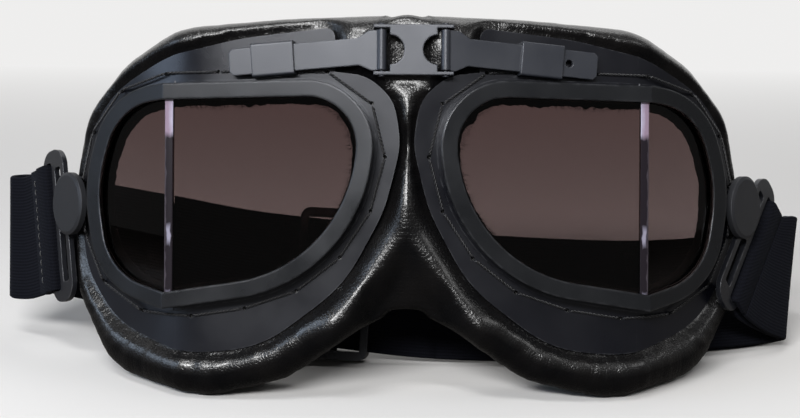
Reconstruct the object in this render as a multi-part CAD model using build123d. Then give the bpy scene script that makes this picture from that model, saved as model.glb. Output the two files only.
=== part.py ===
from build123d import *
import math
import os

# Split-lens flying goggles that lean back as they stand on a table, with their strap run behind them.
# X runs to the right across the mask, Y runs back from the lenses and Z is up.
# Every cup piece is drawn for the right cup, upright, and mirrored for the left one.

# How the mask stands
LEAN = 12

# The cup: reach from the mask's centre line to the temple, and rise from the eye line to the brow
CUP_REACH = 99
CUP_RISE = 52
stand_height_share = 1.0615
STAND_HEIGHT = CUP_RISE * stand_height_share
FRONT_YAW = 10
SIDE_YAW = 40
FLANK_YAW = 51
kink_reach_share = 0.6717
KINK_REACH = CUP_REACH * kink_reach_share
PANEL_NOSE_REACH = 9
temple_run_share = 0.3919
TEMPLE_RUN = CUP_REACH * temple_run_share
OVERRUN = 5

# Lens frame and glass
FRAME_DEPTH = 6.5
FRAME_BAND = 4.4
FRAME_WALL = 2.4
FRAME_LIP = 1.5
GLASS_THICKNESS = 2
GLASS_CLEARANCE = 0.1
GLASS_MITRE = 2.1
SEAM_GAP = 0.06
GASKET_THICKNESS = 1.4
GASKET_BAND = 2.3

# Face plate
PLATE_THICKNESS = 1.2
NECK_WIDTH = 1
NECK_HEIGHT = 1
NECK_HUB_ROOM = 1
STITCH_HOLE = 1.2
STITCH_HOLES = 17
STITCH_HOLE_SIDES = 8
STITCH_INSET = 3.3
EAR_HALF_HEIGHT = 8
EAR_RADIUS = 8.5

# Leather cushion and felt lining
PAD_SINK = 0.5
PAD_DEPTH = 26
PAD_TEMPLE_YAW = 15
PAD_BEND = 14
PAD_FRONT_ROUND = 5.5
PAD_BACK_BEVEL = 3.8
LINING_THICKNESS = 2.4
LINING_GAP = 0.1
LINING_DEPTH = 20.5
NOSE_LEATHER_HALF = 5
NOSE_LEATHER_FRONT = 7.2
NOSE_LEATHER_BACK = 21
nose_top_share = 0.9712
nose_foot_share = 0.55
NOSE_LEATHER_TOP = CUP_RISE * nose_top_share
NOSE_LEATHER_FOOT = CUP_RISE * nose_foot_share
NOSE_LEATHER_ROUND = 2
NOSE_ARCH_RADIUS = 13
NOSE_ARCH_RISE = 1

# Bridge between the cups
BRIDGE_SHIFT = 1.7
bridge_rise_share = 0.8192
BRIDGE_RISE = CUP_RISE * bridge_rise_share
PIN_REACH = 8.6
PIN_DEPTH = 4.3
PIN_RADIUS = 0.6
PIN_HEAD_RADIUS = 1
PIN_HEAD = 0.4
KNUCKLE_RADIUS = 1.3
PIN_CLEARANCE = 0.05
LINK_HALF_WIDTH = 10.75
LINK_BODY_HALF = 6.35
LINK_WAIST_HALF = 2.5
LINK_CUT_RADIUS = 4
LINK_DEPTH = 2.8
RAIL_THICKNESS = 0.9
RAIL_CLEARANCE = 0.45
HEAD_HEIGHT = 10.8
HEAD_REACH = 3.1
HEAD_CHAMFER = 3.2
BAR_HEIGHT = 7.3
BAR_LENGTH = 42.2
BAR_THICKNESS = 1.4
BAR_DEPTH = 4.2
BAR_CORNER = 1
BAR_HOLE = 2
BAR_HOLE_INSET = 8

# Keeper that the bar slides through
keeper_along_share = 0.6564
keeper_rise_share = 0.7769
KEEPER_REACH = PIN_REACH + BAR_LENGTH * keeper_along_share
KEEPER_RISE = CUP_RISE * keeper_rise_share
KEEPER_LENGTH = 11.7
KEEPER_WALL = 0.85
KEEPER_ROUND = 0.6
BAR_CLEARANCE = 0.08

# Temple button
BUTTON_RUN = 6
BUTTON_RISE = 1
WASHER_RADIUS = 4.2
WASHER_THICKNESS = 1.5
POST_RADIUS = 2.3
POST_CLEARANCE = 0.05
CAP_RADIUS = 9.15
CAP_THICKNESS = 2.2
CAP_BEVEL = 0.5
CAP_BEVEL_RUN = 0.9
CAP_GAP = 0.2

# Strap loop plate, as high as the strap and the wall at each end of its slot
STRAP_WIDTH = 38
LOOP_END_WALL = 3.8
LOOP_WINDOW_WALL = 5.6
LOOP_HALF_HEIGHT = STRAP_WIDTH / 2 + LOOP_END_WALL
LOOP_WINDOW_HALF = LOOP_HALF_HEIGHT - LOOP_WINDOW_WALL
LOOP_INNER = 4.6
LOOP_WIDTH = 13
LOOP_THICKNESS = 1.6
LOOP_CORNER = 5.5
LOOP_DROP = 4.5
LOOP_HUB = 6
LOOP_TAB_HALF = 4.6
LOOP_RIM = 2
LOOP_OUTER_BAR = 2.2
LOOP_SLOT = 3.2
LOOP_TILT_LEFT = 11
LOOP_TILT_RIGHT = 40

# Elastic strap
STRAP_THICKNESS = 1.5
STRAP_SLOT_PLAY = 0.35
STRAP_WRAP_GAP = 0.12
STRAP_LAYER_GAP = 0.3
STRAP_JOINT_GAP = 0.3
LEFT_FOLD_LENGTH = 7
RIGHT_TURN_LENGTH = 3

# Slider behind the mask
SLIDER_REACH = -21
SLIDER_LENGTH = 22
SLIDER_BAR = 2.4
SLIDER_THICKNESS = 1.6
SLIDER_RAIL = 2.6
SLIDER_CORNER = 3
SLIDER_PLAY = 0.8
HEM_WALL = 1.2

# Outlines as shares of the cup's reach and rise, with each corner's radius as a share of the rise
lens_outline_shares = [
    (0.069, 0.668, 0.345),
    (0.678, 0.650, 0.0),
    (0.850, 0.620, 0.40),
    (0.935, 0.130, 0.80),
    (0.886, -0.420, 0.42),
    (0.671, -0.530, 0.0),
    (0.133, -0.370, 0.82),
]
plate_outline_shares = [
    (0.016, 0.330, 0.20),
    (0.035, 0.565, 0.10),
    (0.108, 0.690, 0.03),
    (0.198, 0.712, 0.0),
    (0.198, 0.945, 0.05),
    (0.460, 0.893, 0.60),
    (0.680, 0.800, 0.60),
    (0.850, 0.640, 0.50),
    (0.945, 0.380, 0.40),
    (0.966, -0.020, 0.60),
    (0.945, -0.330, 0.40),
    (0.840, -0.625, 0.45),
    (0.620, -0.775, 0.60),
    (0.400, -0.735, 0.60),
    (0.170, -0.400, 0.70),
    (0.060, -0.010, 0.60),
]
pad_outline_shares = [
    (0.0535, 1.014, 0.0),
    (0.330, 1.004, 0.6),
    (0.640, 0.965, 0.6),
    (0.810, 0.795, 0.4),
    (0.945, 0.530, 0.4),
    (0.998, 0.080, 0.6),
    (0.985, -0.460, 0.35),
    (0.850, -0.900, 0.33),
    (0.560, -1.010, 0.5),
    (0.330, -0.905, 0.5),
    (0.140, -0.655, 0.5),
    (0.0535, -0.570, 0.0),
]

# The strap's course in the standing frame: reach across and depth as shares of the cup's reach, height
# of its middle as a share of its width, and how far its upward edge tips to the right and back, in degrees
strap_course_shares = [
    (-1.1778, 0.6465, 0.8368, -4, 19),
    (-1.2182, 0.7030, 0.8211, -2, 17),
    (-1.2263, 0.7576, 0.8053, 0, 15),
    (-1.1960, 0.8040, 0.7842, 2, 13),
    (-1.1313, 0.8141, 0.7632, 3, 12),
    (-0.9798, 0.7616, 0.7316, 3, 11),
    (-0.7374, 0.6364, 0.6947, 3, 12),
    (-0.4747, 0.5101, 0.6421, 3, 14),
    (-0.2121, 0.4566, 0.5947, 3, 15),
    (0.0606, 0.4465, 0.5211, 3, 18),
    (0.3636, 0.4808, 0.4658, 0, 29),
    (0.6465, 0.5424, 0.4263, -3, 37),
    (0.8687, 0.6131, 0.4132, -6, 41),
    (1.0000, 0.6505, 0.4237, -6, 38),
    (1.1010, 0.6687, 0.4579, -3, 31),
    (1.1616, 0.6596, 0.5026, 2, 24),
    (1.1859, 0.6162, 0.5579, 7, 20),
    (1.1434, 0.5576, 0.6316, 17, 28),
]
STRAP_STEPS = 4


def yaw_along(yaw):
    """Level direction that runs outward and back at this yaw."""
    return Vector(math.cos(math.radians(yaw)), math.sin(math.radians(yaw)), 0)


def yaw_inward(yaw):
    """Level direction square to that one, into the mask."""
    return Vector(-math.sin(math.radians(yaw)), math.cos(math.radians(yaw)), 0)


def mitre(first_yaw, second_yaw):
    """How far a corner between two panels moves for each unit of depth."""
    first = yaw_inward(first_yaw)
    second = yaw_inward(second_yaw)
    return (first + second) * (1 / (1 + first.dot(second)))


KINK_FRONT = Vector(
    KINK_REACH, (KINK_REACH - PANEL_NOSE_REACH) * math.tan(math.radians(FRONT_YAW)), 0
)
TEMPLE_FRONT = KINK_FRONT + yaw_along(SIDE_YAW) * TEMPLE_RUN


def kink_at(depth):
    """Corner between the front and side panels at a depth behind the lens frame's face."""
    return KINK_FRONT + mitre(FRONT_YAW, SIDE_YAW) * depth


def temple_at(depth):
    """Corner between the side panel and the temple flank at that depth."""
    return TEMPLE_FRONT + mitre(SIDE_YAW, FLANK_YAW) * depth


def nose_end(depth):
    """Far nose end of the front panel at that depth."""
    return kink_at(depth) - yaw_along(FRONT_YAW) * CUP_REACH


def flank_end(depth):
    """Far back end of the flank at that depth."""
    return temple_at(depth) + yaw_along(FLANK_YAW) * CUP_RISE


def upright(face):
    """A drawing in X and Z run through the whole mask along Y."""
    return extrude(Plane.XZ * face, amount=2 * CUP_REACH, both=True)


def tall(points, radii=None):
    """A plan polygon, its corners rounded if radii are given, run up and down past the mask."""
    line = FilletPolyline(*points, radius=radii, close=True) if radii else Polyline(*points, close=True)
    return extrude(make_face(line), amount=2 * CUP_RISE, both=True)


def bent_sheet(near, far):
    """The cup's three panels as one sheet between two depths."""
    return tall([
        nose_end(near), kink_at(near), temple_at(near), flank_end(near),
        flank_end(far), temple_at(far), kink_at(far), nose_end(far),
    ])


def outline(shares):
    """Closed outline with round corners, in X and Z, from a table of shares."""
    points = [(x * CUP_REACH, z * CUP_RISE) for x, z, radius in shares]
    radii = [radius * CUP_RISE for x, z, radius in shares]
    return make_face(FilletPolyline(*points, radius=radii, close=True))


def lens_outline(inset=0):
    """The lens frame's outline, drawn in by the inset."""
    face = outline(lens_outline_shares)
    if inset:
        face = offset(face, amount=-inset)
    return face


def lens_frame():
    """Deep D-shaped frame, kinked where its two panes meet, with a lip that holds the glass."""
    frame = upright(lens_outline()) & bent_sheet(0, FRAME_DEPTH)
    frame -= upright(lens_outline(FRAME_BAND))
    frame -= upright(lens_outline(FRAME_WALL)) & bent_sheet(FRAME_LIP, FRAME_DEPTH + OVERRUN)
    return frame


def glass():
    """Both panes of one cup before they are parted."""
    face = lens_outline(FRAME_WALL + GLASS_CLEARANCE)
    return upright(face) & bent_sheet(FRAME_LIP, FRAME_LIP + GLASS_THICKNESS)


def seam_side(gap):
    """All that lies outward of the mitred seam between the panes, less a gap."""
    front = kink_at(FRAME_LIP) + yaw_along(FRONT_YAW) * gap
    slant = yaw_inward(FRONT_YAW) * GLASS_THICKNESS - yaw_along(FRONT_YAW) * GLASS_MITRE
    away = yaw_along(FRONT_YAW) * CUP_REACH
    reach = CUP_REACH / GLASS_THICKNESS
    return tall([
        front - slant * reach, front - slant * reach + away,
        front + slant * reach + away, front + slant * reach,
    ])


def front_lens():
    """Flat front pane with its ground edge at the seam."""
    return glass() - seam_side(-SEAM_GAP)


def side_lens():
    """Flat side pane."""
    return glass() & seam_side(SEAM_GAP)


def lens_gasket():
    """Rubber ring that backs the glass inside the frame."""
    back = FRAME_LIP + GLASS_THICKNESS
    ring = upright(lens_outline(FRAME_WALL + GLASS_CLEARANCE))
    ring -= upright(lens_outline(FRAME_WALL + GASKET_BAND))
    return ring & bent_sheet(back, back + GASKET_THICKNESS)


def flank_plane():
    """Plane on the temple flank at the button, facing outward, with X along the flank."""
    centre = temple_at(FRAME_DEPTH) + yaw_along(FLANK_YAW) * BUTTON_RUN + Vector(0, 0, BUTTON_RISE)
    return Plane(origin=centre, x_dir=yaw_along(FLANK_YAW), z_dir=-yaw_inward(FLANK_YAW))


def stitch_places():
    """Places round the lens frame where the thread goes through the plate."""
    ring = offset(outline(lens_outline_shares), amount=STITCH_INSET).wire()
    return [ring @ (step / STITCH_HOLES) for step in range(STITCH_HOLES)]


def face_plate():
    """Bent plate that carries the frame, with its neck, stitching holes and strap ear."""
    back = FRAME_DEPTH + PLATE_THICKNESS
    plate = upright(outline(plate_outline_shares)) & bent_sheet(FRAME_DEPTH, back)
    neck = upright(lens_outline(-NECK_WIDTH) - lens_outline())
    neck &= bent_sheet(FRAME_DEPTH - NECK_HEIGHT, FRAME_DEPTH)
    neck -= flank_plane() * Cylinder(LOOP_HUB + NECK_HUB_ROOM, 2 * FRAME_DEPTH)
    plate = plate + ear_block(FRAME_DEPTH) + neck
    plate -= upright(lens_outline(FRAME_WALL))
    hole = RegularPolygon(STITCH_HOLE / 2, STITCH_HOLE_SIDES)
    holes = [Pos(X=place.X, Y=place.Y) * hole for place in stitch_places()]
    return plate - upright(Sketch() + holes)


def ear_block(near):
    """The strap ear as a block from one depth to the plate's back."""
    ear = Pos(Y=BUTTON_RISE) * Rectangle(2 * CUP_REACH + OVERRUN, 2 * EAR_HALF_HEIGHT)
    ear = upright(ear) & bent_sheet(near, FRAME_DEPTH + PLATE_THICKNESS)
    return ear & flank_plane() * Cylinder(EAR_RADIUS, 2 * FRAME_DEPTH)


def cushion_room(near, far):
    """The room in plan behind the plate between two depths, deepest behind the temple."""
    back_corner = temple_at(far)
    return tall(
        [
            nose_end(near), kink_at(near), temple_at(near), flank_end(near),
            back_corner + yaw_along(PAD_TEMPLE_YAW) * CUP_REACH,
            back_corner, kink_at(far), nose_end(far),
        ],
        [0, PAD_BEND, PAD_BEND, 0, 0, PAD_BEND, PAD_BEND, 0],
    )


def on_face_side(edge):
    """Whether a cushion's edge lies on the half of its depth that meets the face."""
    place = edge.center()
    corner = KINK_FRONT if place.X < TEMPLE_FRONT.X else TEMPLE_FRONT
    yaw = FRONT_YAW if place.X < KINK_FRONT.X else SIDE_YAW if place.X < TEMPLE_FRONT.X else FLANK_YAW
    front = corner.Y + (place.X - corner.X) * math.tan(math.radians(yaw))
    return place.Y - front > (FRAME_DEPTH + PAD_DEPTH) / 2


def rim_edges(solid):
    """The edges where a cushion's outer wall meets its front and back faces."""
    return [
        edge for edge in solid.edges()
        if abs((edge % 0.5).Y) < 0.99 and abs((edge % 0.5).Z) < 0.9999
    ]


def leather_pad():
    """Rolled leather cushion behind the plate, open for the eye."""
    block = (upright(outline(pad_outline_shares)) & cushion_room(FRAME_DEPTH + PAD_SINK, PAD_DEPTH)).solid()
    front = [edge for edge in rim_edges(block) if not on_face_side(edge)]
    block = fillet(front, radius=PAD_FRONT_ROUND)
    back = [edge for edge in rim_edges(block) if on_face_side(edge)]
    block = chamfer(back, length=PAD_BACK_BEVEL)
    block -= upright(lens_outline(FRAME_WALL))
    seat = upright(outline(plate_outline_shares)) & bent_sheet(0, FRAME_DEPTH + PLATE_THICKNESS)
    return block - seat - ear_block(0)


def felt_lining():
    """Felt sleeve on the inside of the cushion."""
    sleeve = upright(lens_outline(FRAME_WALL + LINING_GAP))
    sleeve -= upright(lens_outline(FRAME_WALL + LINING_GAP + LINING_THICKNESS))
    return sleeve & cushion_room(FRAME_DEPTH + PLATE_THICKNESS, LINING_DEPTH)


def nose_leather():
    """Soft leather between the cups, arched over the nose."""
    height = NOSE_LEATHER_TOP + NOSE_LEATHER_FOOT
    depth = NOSE_LEATHER_BACK - NOSE_LEATHER_FRONT
    middle = (NOSE_LEATHER_TOP - NOSE_LEATHER_FOOT) / 2
    strip = Pos(0, NOSE_LEATHER_FRONT + depth / 2, middle) * Box(2 * NOSE_LEATHER_HALF, depth, height)
    strip = fillet(strip.edges().filter_by(Axis.Z), radius=NOSE_LEATHER_ROUND)
    arch = Plane.XZ * Pos(Y=-NOSE_LEATHER_FOOT - NOSE_ARCH_RADIUS + NOSE_ARCH_RISE) * Circle(NOSE_ARCH_RADIUS)
    return strip - extrude(arch, amount=CUP_REACH, both=True)


def pin_place(shift):
    """Middle of the pin that one bar turns on."""
    return Vector(PIN_REACH + shift, PIN_DEPTH, BRIDGE_RISE)


def keeper_place():
    """Middle of the keeper's slot, over the front panel."""
    level = (KEEPER_REACH - PANEL_NOSE_REACH) * math.tan(math.radians(FRONT_YAW))
    return Vector(KEEPER_REACH, level + BAR_DEPTH / math.cos(math.radians(FRONT_YAW)), KEEPER_RISE)


def bar_plane(shift):
    """Plane of a slide bar: X from its pin to its keeper, Z out of the mask."""
    run = (keeper_place() - pin_place(shift)).normalized()
    out = -yaw_inward(FRONT_YAW)
    out = (out - run * out.dot(run)).normalized()
    return Plane(origin=pin_place(shift), x_dir=run, z_dir=out)


def slide_bar(shift):
    """Bar with a T-shaped head rolled round its pin, and a hole near its tail."""
    head = HEAD_HEIGHT / 2
    half = BAR_HEIGHT / 2
    neck = HEAD_REACH + HEAD_CHAMFER
    tail = BAR_LENGTH - BAR_CORNER
    corner = half - BAR_CORNER
    shape = make_face(Polyline(
        (0, head), (HEAD_REACH, head), (neck, half), (tail, half), (BAR_LENGTH, corner),
        (BAR_LENGTH, -corner), (tail, -half), (neck, -half), (HEAD_REACH, -head), (0, -head),
        close=True,
    ))
    shape -= Pos(X=BAR_LENGTH - BAR_HOLE_INSET) * Circle(BAR_HOLE / 2)
    bar = extrude(bar_plane(shift) * shape, amount=BAR_THICKNESS / 2, both=True)
    knuckle = Pos(pin_place(shift)) * Cylinder(KNUCKLE_RADIUS, HEAD_HEIGHT)
    bore = Pos(pin_place(shift)) * Cylinder(PIN_RADIUS + PIN_CLEARANCE, 2 * HEAD_HEIGHT)
    return bar + knuckle - bore


def bar_keeper(shift):
    """Sleeve on the plate that the bar slides through."""
    away = (keeper_place() - pin_place(shift)).length
    height = BAR_HEIGHT + 2 * (BAR_CLEARANCE + KEEPER_WALL)
    face = BAR_THICKNESS / 2 + BAR_CLEARANCE + KEEPER_WALL
    place = bar_plane(shift) * Pos(X=away)
    sleeve = Box(KEEPER_LENGTH, height, 2 * FRAME_DEPTH)
    sleeve = place * Pos(Z=face - FRAME_DEPTH) * sleeve
    sleeve = fillet(sleeve.edges().filter_by(lambda e: abs(e.length - KEEPER_LENGTH) < 0.01)
                    .sort_by(lambda e: e.center().Y)[:2], radius=KEEPER_ROUND)
    slot = Box(2 * KEEPER_LENGTH, BAR_HEIGHT + 2 * BAR_CLEARANCE, BAR_THICKNESS + 2 * BAR_CLEARANCE)
    return (sleeve & bent_sheet(-OVERRUN, FRAME_DEPTH)) - place * slot


def bridge_link():
    """Waisted link with a rail over and under the heads of both bars."""
    rail_middle = HEAD_HEIGHT / 2 + RAIL_CLEARANCE + RAIL_THICKNESS / 2
    shape = Rectangle(2 * LINK_BODY_HALF, 2 * rail_middle)
    for side in (-1, 1):
        shape -= Pos(X=side * (LINK_WAIST_HALF + LINK_CUT_RADIUS)) * Circle(LINK_CUT_RADIUS)
    for side in (-1, 1):
        shape += Pos(Y=side * rail_middle) * Rectangle(2 * LINK_HALF_WIDTH, RAIL_THICKNESS)
    link = extrude(Plane.XZ * shape, amount=LINK_DEPTH / 2, both=True)
    for side in (-1, 1):
        link -= Pos(X=side * PIN_REACH) * Cylinder(PIN_RADIUS, 4 * rail_middle)
    return Pos(BRIDGE_SHIFT, PIN_DEPTH, BRIDGE_RISE) * link


def bridge_pin():
    """Pin with a flat head at each end, to the right of the link's middle."""
    rail_face = HEAD_HEIGHT / 2 + RAIL_CLEARANCE + RAIL_THICKNESS
    pin = Cylinder(PIN_RADIUS, 2 * rail_face)
    for side in (-1, 1):
        pin += Pos(Z=side * (rail_face + PIN_HEAD / 2)) * Cylinder(PIN_HEAD_RADIUS, PIN_HEAD)
    return Pos(X=PIN_REACH) * pin


def button_stack():
    """Heights over the ear of the washer, loop plate and cap."""
    loop_foot = WASHER_THICKNESS
    cap_foot = loop_foot + LOOP_THICKNESS + CAP_GAP
    return loop_foot, cap_foot


def button_post():
    """Rivet post through the ear that the strap loop turns on."""
    loop_foot, cap_foot = button_stack()
    post = Pos(Z=cap_foot / 2) * Cylinder(POST_RADIUS, cap_foot)
    return flank_plane() * post


def button_washer():
    """Thin washer under the loop plate."""
    washer = Cylinder(WASHER_RADIUS, WASHER_THICKNESS) - Cylinder(POST_RADIUS, 2 * WASHER_THICKNESS)
    return flank_plane() * Pos(Z=WASHER_THICKNESS / 2) * washer


def button_cap():
    """Round cap over the loop's hub."""
    loop_foot, cap_foot = button_stack()
    cap = Cylinder(CAP_RADIUS, CAP_THICKNESS)
    cap = chamfer(cap.edges().group_by(Axis.Z)[-1], length=CAP_BEVEL, length2=CAP_BEVEL_RUN)
    return flank_plane() * Pos(Z=cap_foot + CAP_THICKNESS / 2) * cap


def loop_plane(tilt):
    """The button's plane turned so that the loop's top leans outward by the tilt."""
    return Plane(flank_plane() * Rot(Z=-tilt))


def loop_bar_edge():
    """Distance from the button to the inner edge of the loop's outer bar."""
    return LOOP_INNER + LOOP_WIDTH - LOOP_OUTER_BAR


def strap_loop(tilt):
    """Loop plate with a strap slot, two windows and a tab to its hub."""
    loop_foot, cap_foot = button_stack()
    body = Pos(X=LOOP_INNER + LOOP_WIDTH / 2) * RectangleRounded(
        LOOP_WIDTH, 2 * LOOP_HALF_HEIGHT, LOOP_CORNER
    )
    slot_middle = loop_bar_edge() - LOOP_SLOT / 2
    slot_height = STRAP_WIDTH + 2 * STRAP_SLOT_PLAY
    body -= Pos(X=slot_middle) * RectangleRounded(LOOP_SLOT, slot_height, LOOP_SLOT / 4)
    window_end = loop_bar_edge() - LOOP_SLOT - LOOP_RIM
    window_start = LOOP_INNER + LOOP_RIM
    window_width = window_end - window_start
    window_middle = (window_start + window_end) / 2
    for side in (-1, 1):
        window_height = LOOP_WINDOW_HALF - LOOP_TAB_HALF - side * LOOP_DROP
        middle = side * LOOP_WINDOW_HALF - side * window_height / 2
        window = RectangleRounded(window_width, window_height, window_width / 4)
        body -= Pos(window_middle, middle) * window
    shape = Pos(Y=-LOOP_DROP) * body + Circle(LOOP_HUB)
    shape += Pos(X=window_start / 2) * Rectangle(window_start, 2 * LOOP_TAB_HALF)
    shape -= Circle(POST_RADIUS + POST_CLEARANCE)
    return loop_plane(tilt) * Pos(Z=loop_foot) * extrude(shape, amount=LOOP_THICKNESS)


def wrap_profile(length, joined):
    """Section of the strap wrapped round the loop's outer bar, sewn together past it if joined."""
    loop_foot, cap_foot = button_stack()
    inside = loop_bar_edge() - STRAP_WRAP_GAP
    outside = loop_bar_edge() + LOOP_OUTER_BAR + STRAP_WRAP_GAP
    low = loop_foot - STRAP_WRAP_GAP
    high = loop_foot + LOOP_THICKNESS + STRAP_WRAP_GAP
    middle = (low + high) / 2
    start = inside - STRAP_THICKNESS
    end = outside + length
    top = high + STRAP_THICKNESS
    foot = low - STRAP_THICKNESS
    if joined:
        shut = outside + STRAP_THICKNESS
        sewn = shut + STRAP_THICKNESS
        shape = FilletPolyline(
            (start, foot), (shut, foot), (sewn, middle - STRAP_THICKNESS), (end, middle - STRAP_THICKNESS),
            (end, middle + STRAP_THICKNESS), (sewn, middle + STRAP_THICKNESS), (shut, top), (start, top),
            radius=[STRAP_THICKNESS, 0, 0, 0, 0, 0, 0, STRAP_THICKNESS], close=True,
        )
        hollow = Polyline((inside, low), (outside, low), (outside, high), (inside, high), close=True)
    else:
        shape = FilletPolyline(
            (start, foot), (end, foot), (end, top), (start, top),
            radius=[STRAP_THICKNESS, 0, 0, STRAP_THICKNESS], close=True,
        )
        open_end = end + STRAP_THICKNESS
        hollow = Polyline((inside, low), (open_end, low), (open_end, high), (inside, high), close=True)
    return make_face(shape) - make_face(hollow)


def strap_wrap(tilt, length, joined):
    """The strap's turn round one loop's outer bar."""
    section = Plane.XZ * wrap_profile(length, joined)
    return loop_plane(tilt) * Pos(Y=-LOOP_DROP) * extrude(section, amount=STRAP_WIDTH / 2, both=True)


def wrap_end(length):
    """Distance from the button to where the strap's free run starts."""
    return loop_bar_edge() + LOOP_OUTER_BAR + STRAP_WRAP_GAP + length + STRAP_JOINT_GAP


def flip(vector):
    """The mirrored place or direction on the left cup."""
    return Vector(-vector.X, vector.Y, vector.Z)


def leaned(vector):
    """A place or direction of the upright mask once it leans back."""
    return vector.rotate(Axis.X, -LEAN)


def loop_exit(tilt, length, left):
    """Where the strap leaves a loop, its direction away from the loop, and the loop's upward direction."""
    loop_foot, cap_foot = button_stack()
    plane = loop_plane(tilt)
    place = plane.from_local_coords(Vector(wrap_end(length), -LOOP_DROP, loop_foot + LOOP_THICKNESS / 2))
    vectors = [place, plane.x_dir, plane.y_dir]
    if left:
        vectors = [flip(vector) for vector in vectors]
    return [leaned(vector) for vector in vectors]


def blend(first, second, third, fourth, share):
    """Smooth curve from the second value to the third, after Catmull and Rom."""
    return (
        second * 2 + (third - first) * share
        + (first * 2 - second * 5 + third * 4 - fourth) * share**2
        + (second * 3 - first - third * 3 + fourth) * share**3
    ) * 0.5


def strap_stations():
    """Middle, direction and upward direction of the strap along its whole free run."""
    start, start_away, start_up = loop_exit(LOOP_TILT_LEFT, LEFT_FOLD_LENGTH, True)
    end, end_away, end_up = loop_exit(LOOP_TILT_RIGHT, RIGHT_TURN_LENGTH, False)
    places = [start]
    ups = [start_up]
    for reach, depth, height, tip, lean in strap_course_shares:
        places.append(Vector(
            reach * CUP_REACH, depth * CUP_REACH, height * STRAP_WIDTH - STAND_HEIGHT
        ))
        ups.append(Vector(math.tan(math.radians(tip)), math.tan(math.radians(lean)), 1).normalized())
    places.append(end)
    ups.append(end_up)
    reach = (places[1] - start).length
    before = start - start_away * reach
    reach = (places[-2] - end).length
    after = end - end_away * reach
    places = [before] + places + [after]
    ups = [start_up] + ups + [end_up]
    stations = []
    for index in range(1, len(places) - 2):
        for step in range(STRAP_STEPS):
            share = step / STRAP_STEPS
            place = blend(*places[index - 1:index + 3], share)
            up = blend(*ups[index - 1:index + 3], share)
            stations.append((place, up))
    stations.append((places[-2], ups[-2]))
    last = len(stations) - 1
    framed = []
    for index, (place, up) in enumerate(stations):
        run = stations[min(index + 1, last)][0] - stations[max(index - 1, 0)][0]
        if index == 0:
            run = start_away
        if index == last:
            run = -end_away
        up = up.normalized()
        run = (run - up * run.dot(up)).normalized()
        framed.append((place, run, up))
    return framed


def strap_sheet(stations, spreads):
    """Strap as a ruled sheet through upright sections, each moved off the course by its spread."""
    sections = []
    for (place, run, up), spread in zip(stations, spreads):
        out = up.cross(run)
        plane = Plane(origin=place + out * spread, x_dir=out, z_dir=run)
        sections.append(plane * Rectangle(STRAP_THICKNESS, STRAP_WIDTH))
    return loft([section.face() for section in sections], ruled=True)


def strap_spreads(stations):
    """Distance between the course and each layer, wider at the right loop's bar."""
    close = (STRAP_THICKNESS + STRAP_LAYER_GAP) / 2
    wide = LOOP_THICKNESS / 2 + STRAP_WRAP_GAP + STRAP_THICKNESS / 2
    last = len(stations) - 1
    spreads = []
    for index in range(len(stations)):
        share = max(0, 1 - (last - index) / STRAP_STEPS)
        spreads.append(close + (wide - close) * share)
    return spreads


def slider_index():
    """Station where the slider sits."""
    reaches = [abs(course[0] * CUP_REACH - SLIDER_REACH) for course in strap_course_shares]
    return (1 + reaches.index(min(reaches))) * STRAP_STEPS


def strap_band():
    """Single run of strap from the left loop to the right one, past the slider."""
    stations = strap_stations()
    spreads = strap_spreads(stations)
    left_run = 2 * STRAP_STEPS
    moved = [-spread * min(1, index / left_run) for index, spread in enumerate(spreads)]
    return strap_sheet(stations, moved)


def slider_plane():
    """Plane on the strap at the slider: X along the strap, Z out of the strap's outer face."""
    place, run, up = strap_stations()[slider_index()]
    return Plane(origin=place, x_dir=run, z_dir=up.cross(run))


def slider_heights():
    """Heights over the strap's course of the inner bars and the middle bar."""
    close = (STRAP_THICKNESS + STRAP_LAYER_GAP) / 2
    inner = -close - STRAP_THICKNESS / 2 - SLIDER_PLAY - SLIDER_THICKNESS / 2
    middle = STRAP_LAYER_GAP / 2 + HEM_WALL + STRAP_WRAP_GAP + SLIDER_THICKNESS / 2
    return inner, middle


def strap_slider():
    """Slider with two bars inside the strap and a middle bar outside it."""
    inner, middle = slider_heights()
    bar_height = STRAP_WIDTH + 2 * SLIDER_PLAY
    full = bar_height + 2 * SLIDER_RAIL
    deep = middle - inner + SLIDER_THICKNESS
    shape = RectangleRounded(SLIDER_LENGTH, full, SLIDER_CORNER)
    shape -= Rectangle(SLIDER_LENGTH + OVERRUN, bar_height)
    rails = Pos(Z=inner - SLIDER_THICKNESS / 2) * extrude(shape, amount=deep)
    shift = (SLIDER_LENGTH - SLIDER_BAR) / 2
    for place, height in ((-shift, inner), (shift, inner), (0, middle)):
        rails += Pos(place, 0, height) * Box(SLIDER_BAR, bar_height, SLIDER_THICKNESS)
    return slider_plane() * rails


def strap_hem():
    """End of the strap's return sewn round the slider's middle bar."""
    inner, middle = slider_heights()
    hole_length = SLIDER_BAR + 2 * STRAP_WRAP_GAP
    hole_height = SLIDER_THICKNESS + 2 * STRAP_WRAP_GAP
    length = hole_length + 2 * HEM_WALL
    height = hole_height + 2 * HEM_WALL
    shape = RectangleRounded(length, height, HEM_WALL) - Rectangle(hole_length, hole_height)
    hem = extrude(Plane.XZ * shape, amount=STRAP_WIDTH / 2, both=True)
    return slider_plane() * Pos(Z=middle) * hem


def strap_return():
    """Doubled run from the hem to the right loop."""
    stations = strap_stations()
    spreads = strap_spreads(stations)
    index = slider_index()
    place, run, up = stations[index]
    start = SLIDER_BAR / 2 + STRAP_WRAP_GAP + HEM_WALL + STRAP_JOINT_GAP
    first = (place + run * start, run, up)
    return strap_sheet([first] + stations[index + 1:], [spreads[index]] + spreads[index + 1:])


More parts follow.
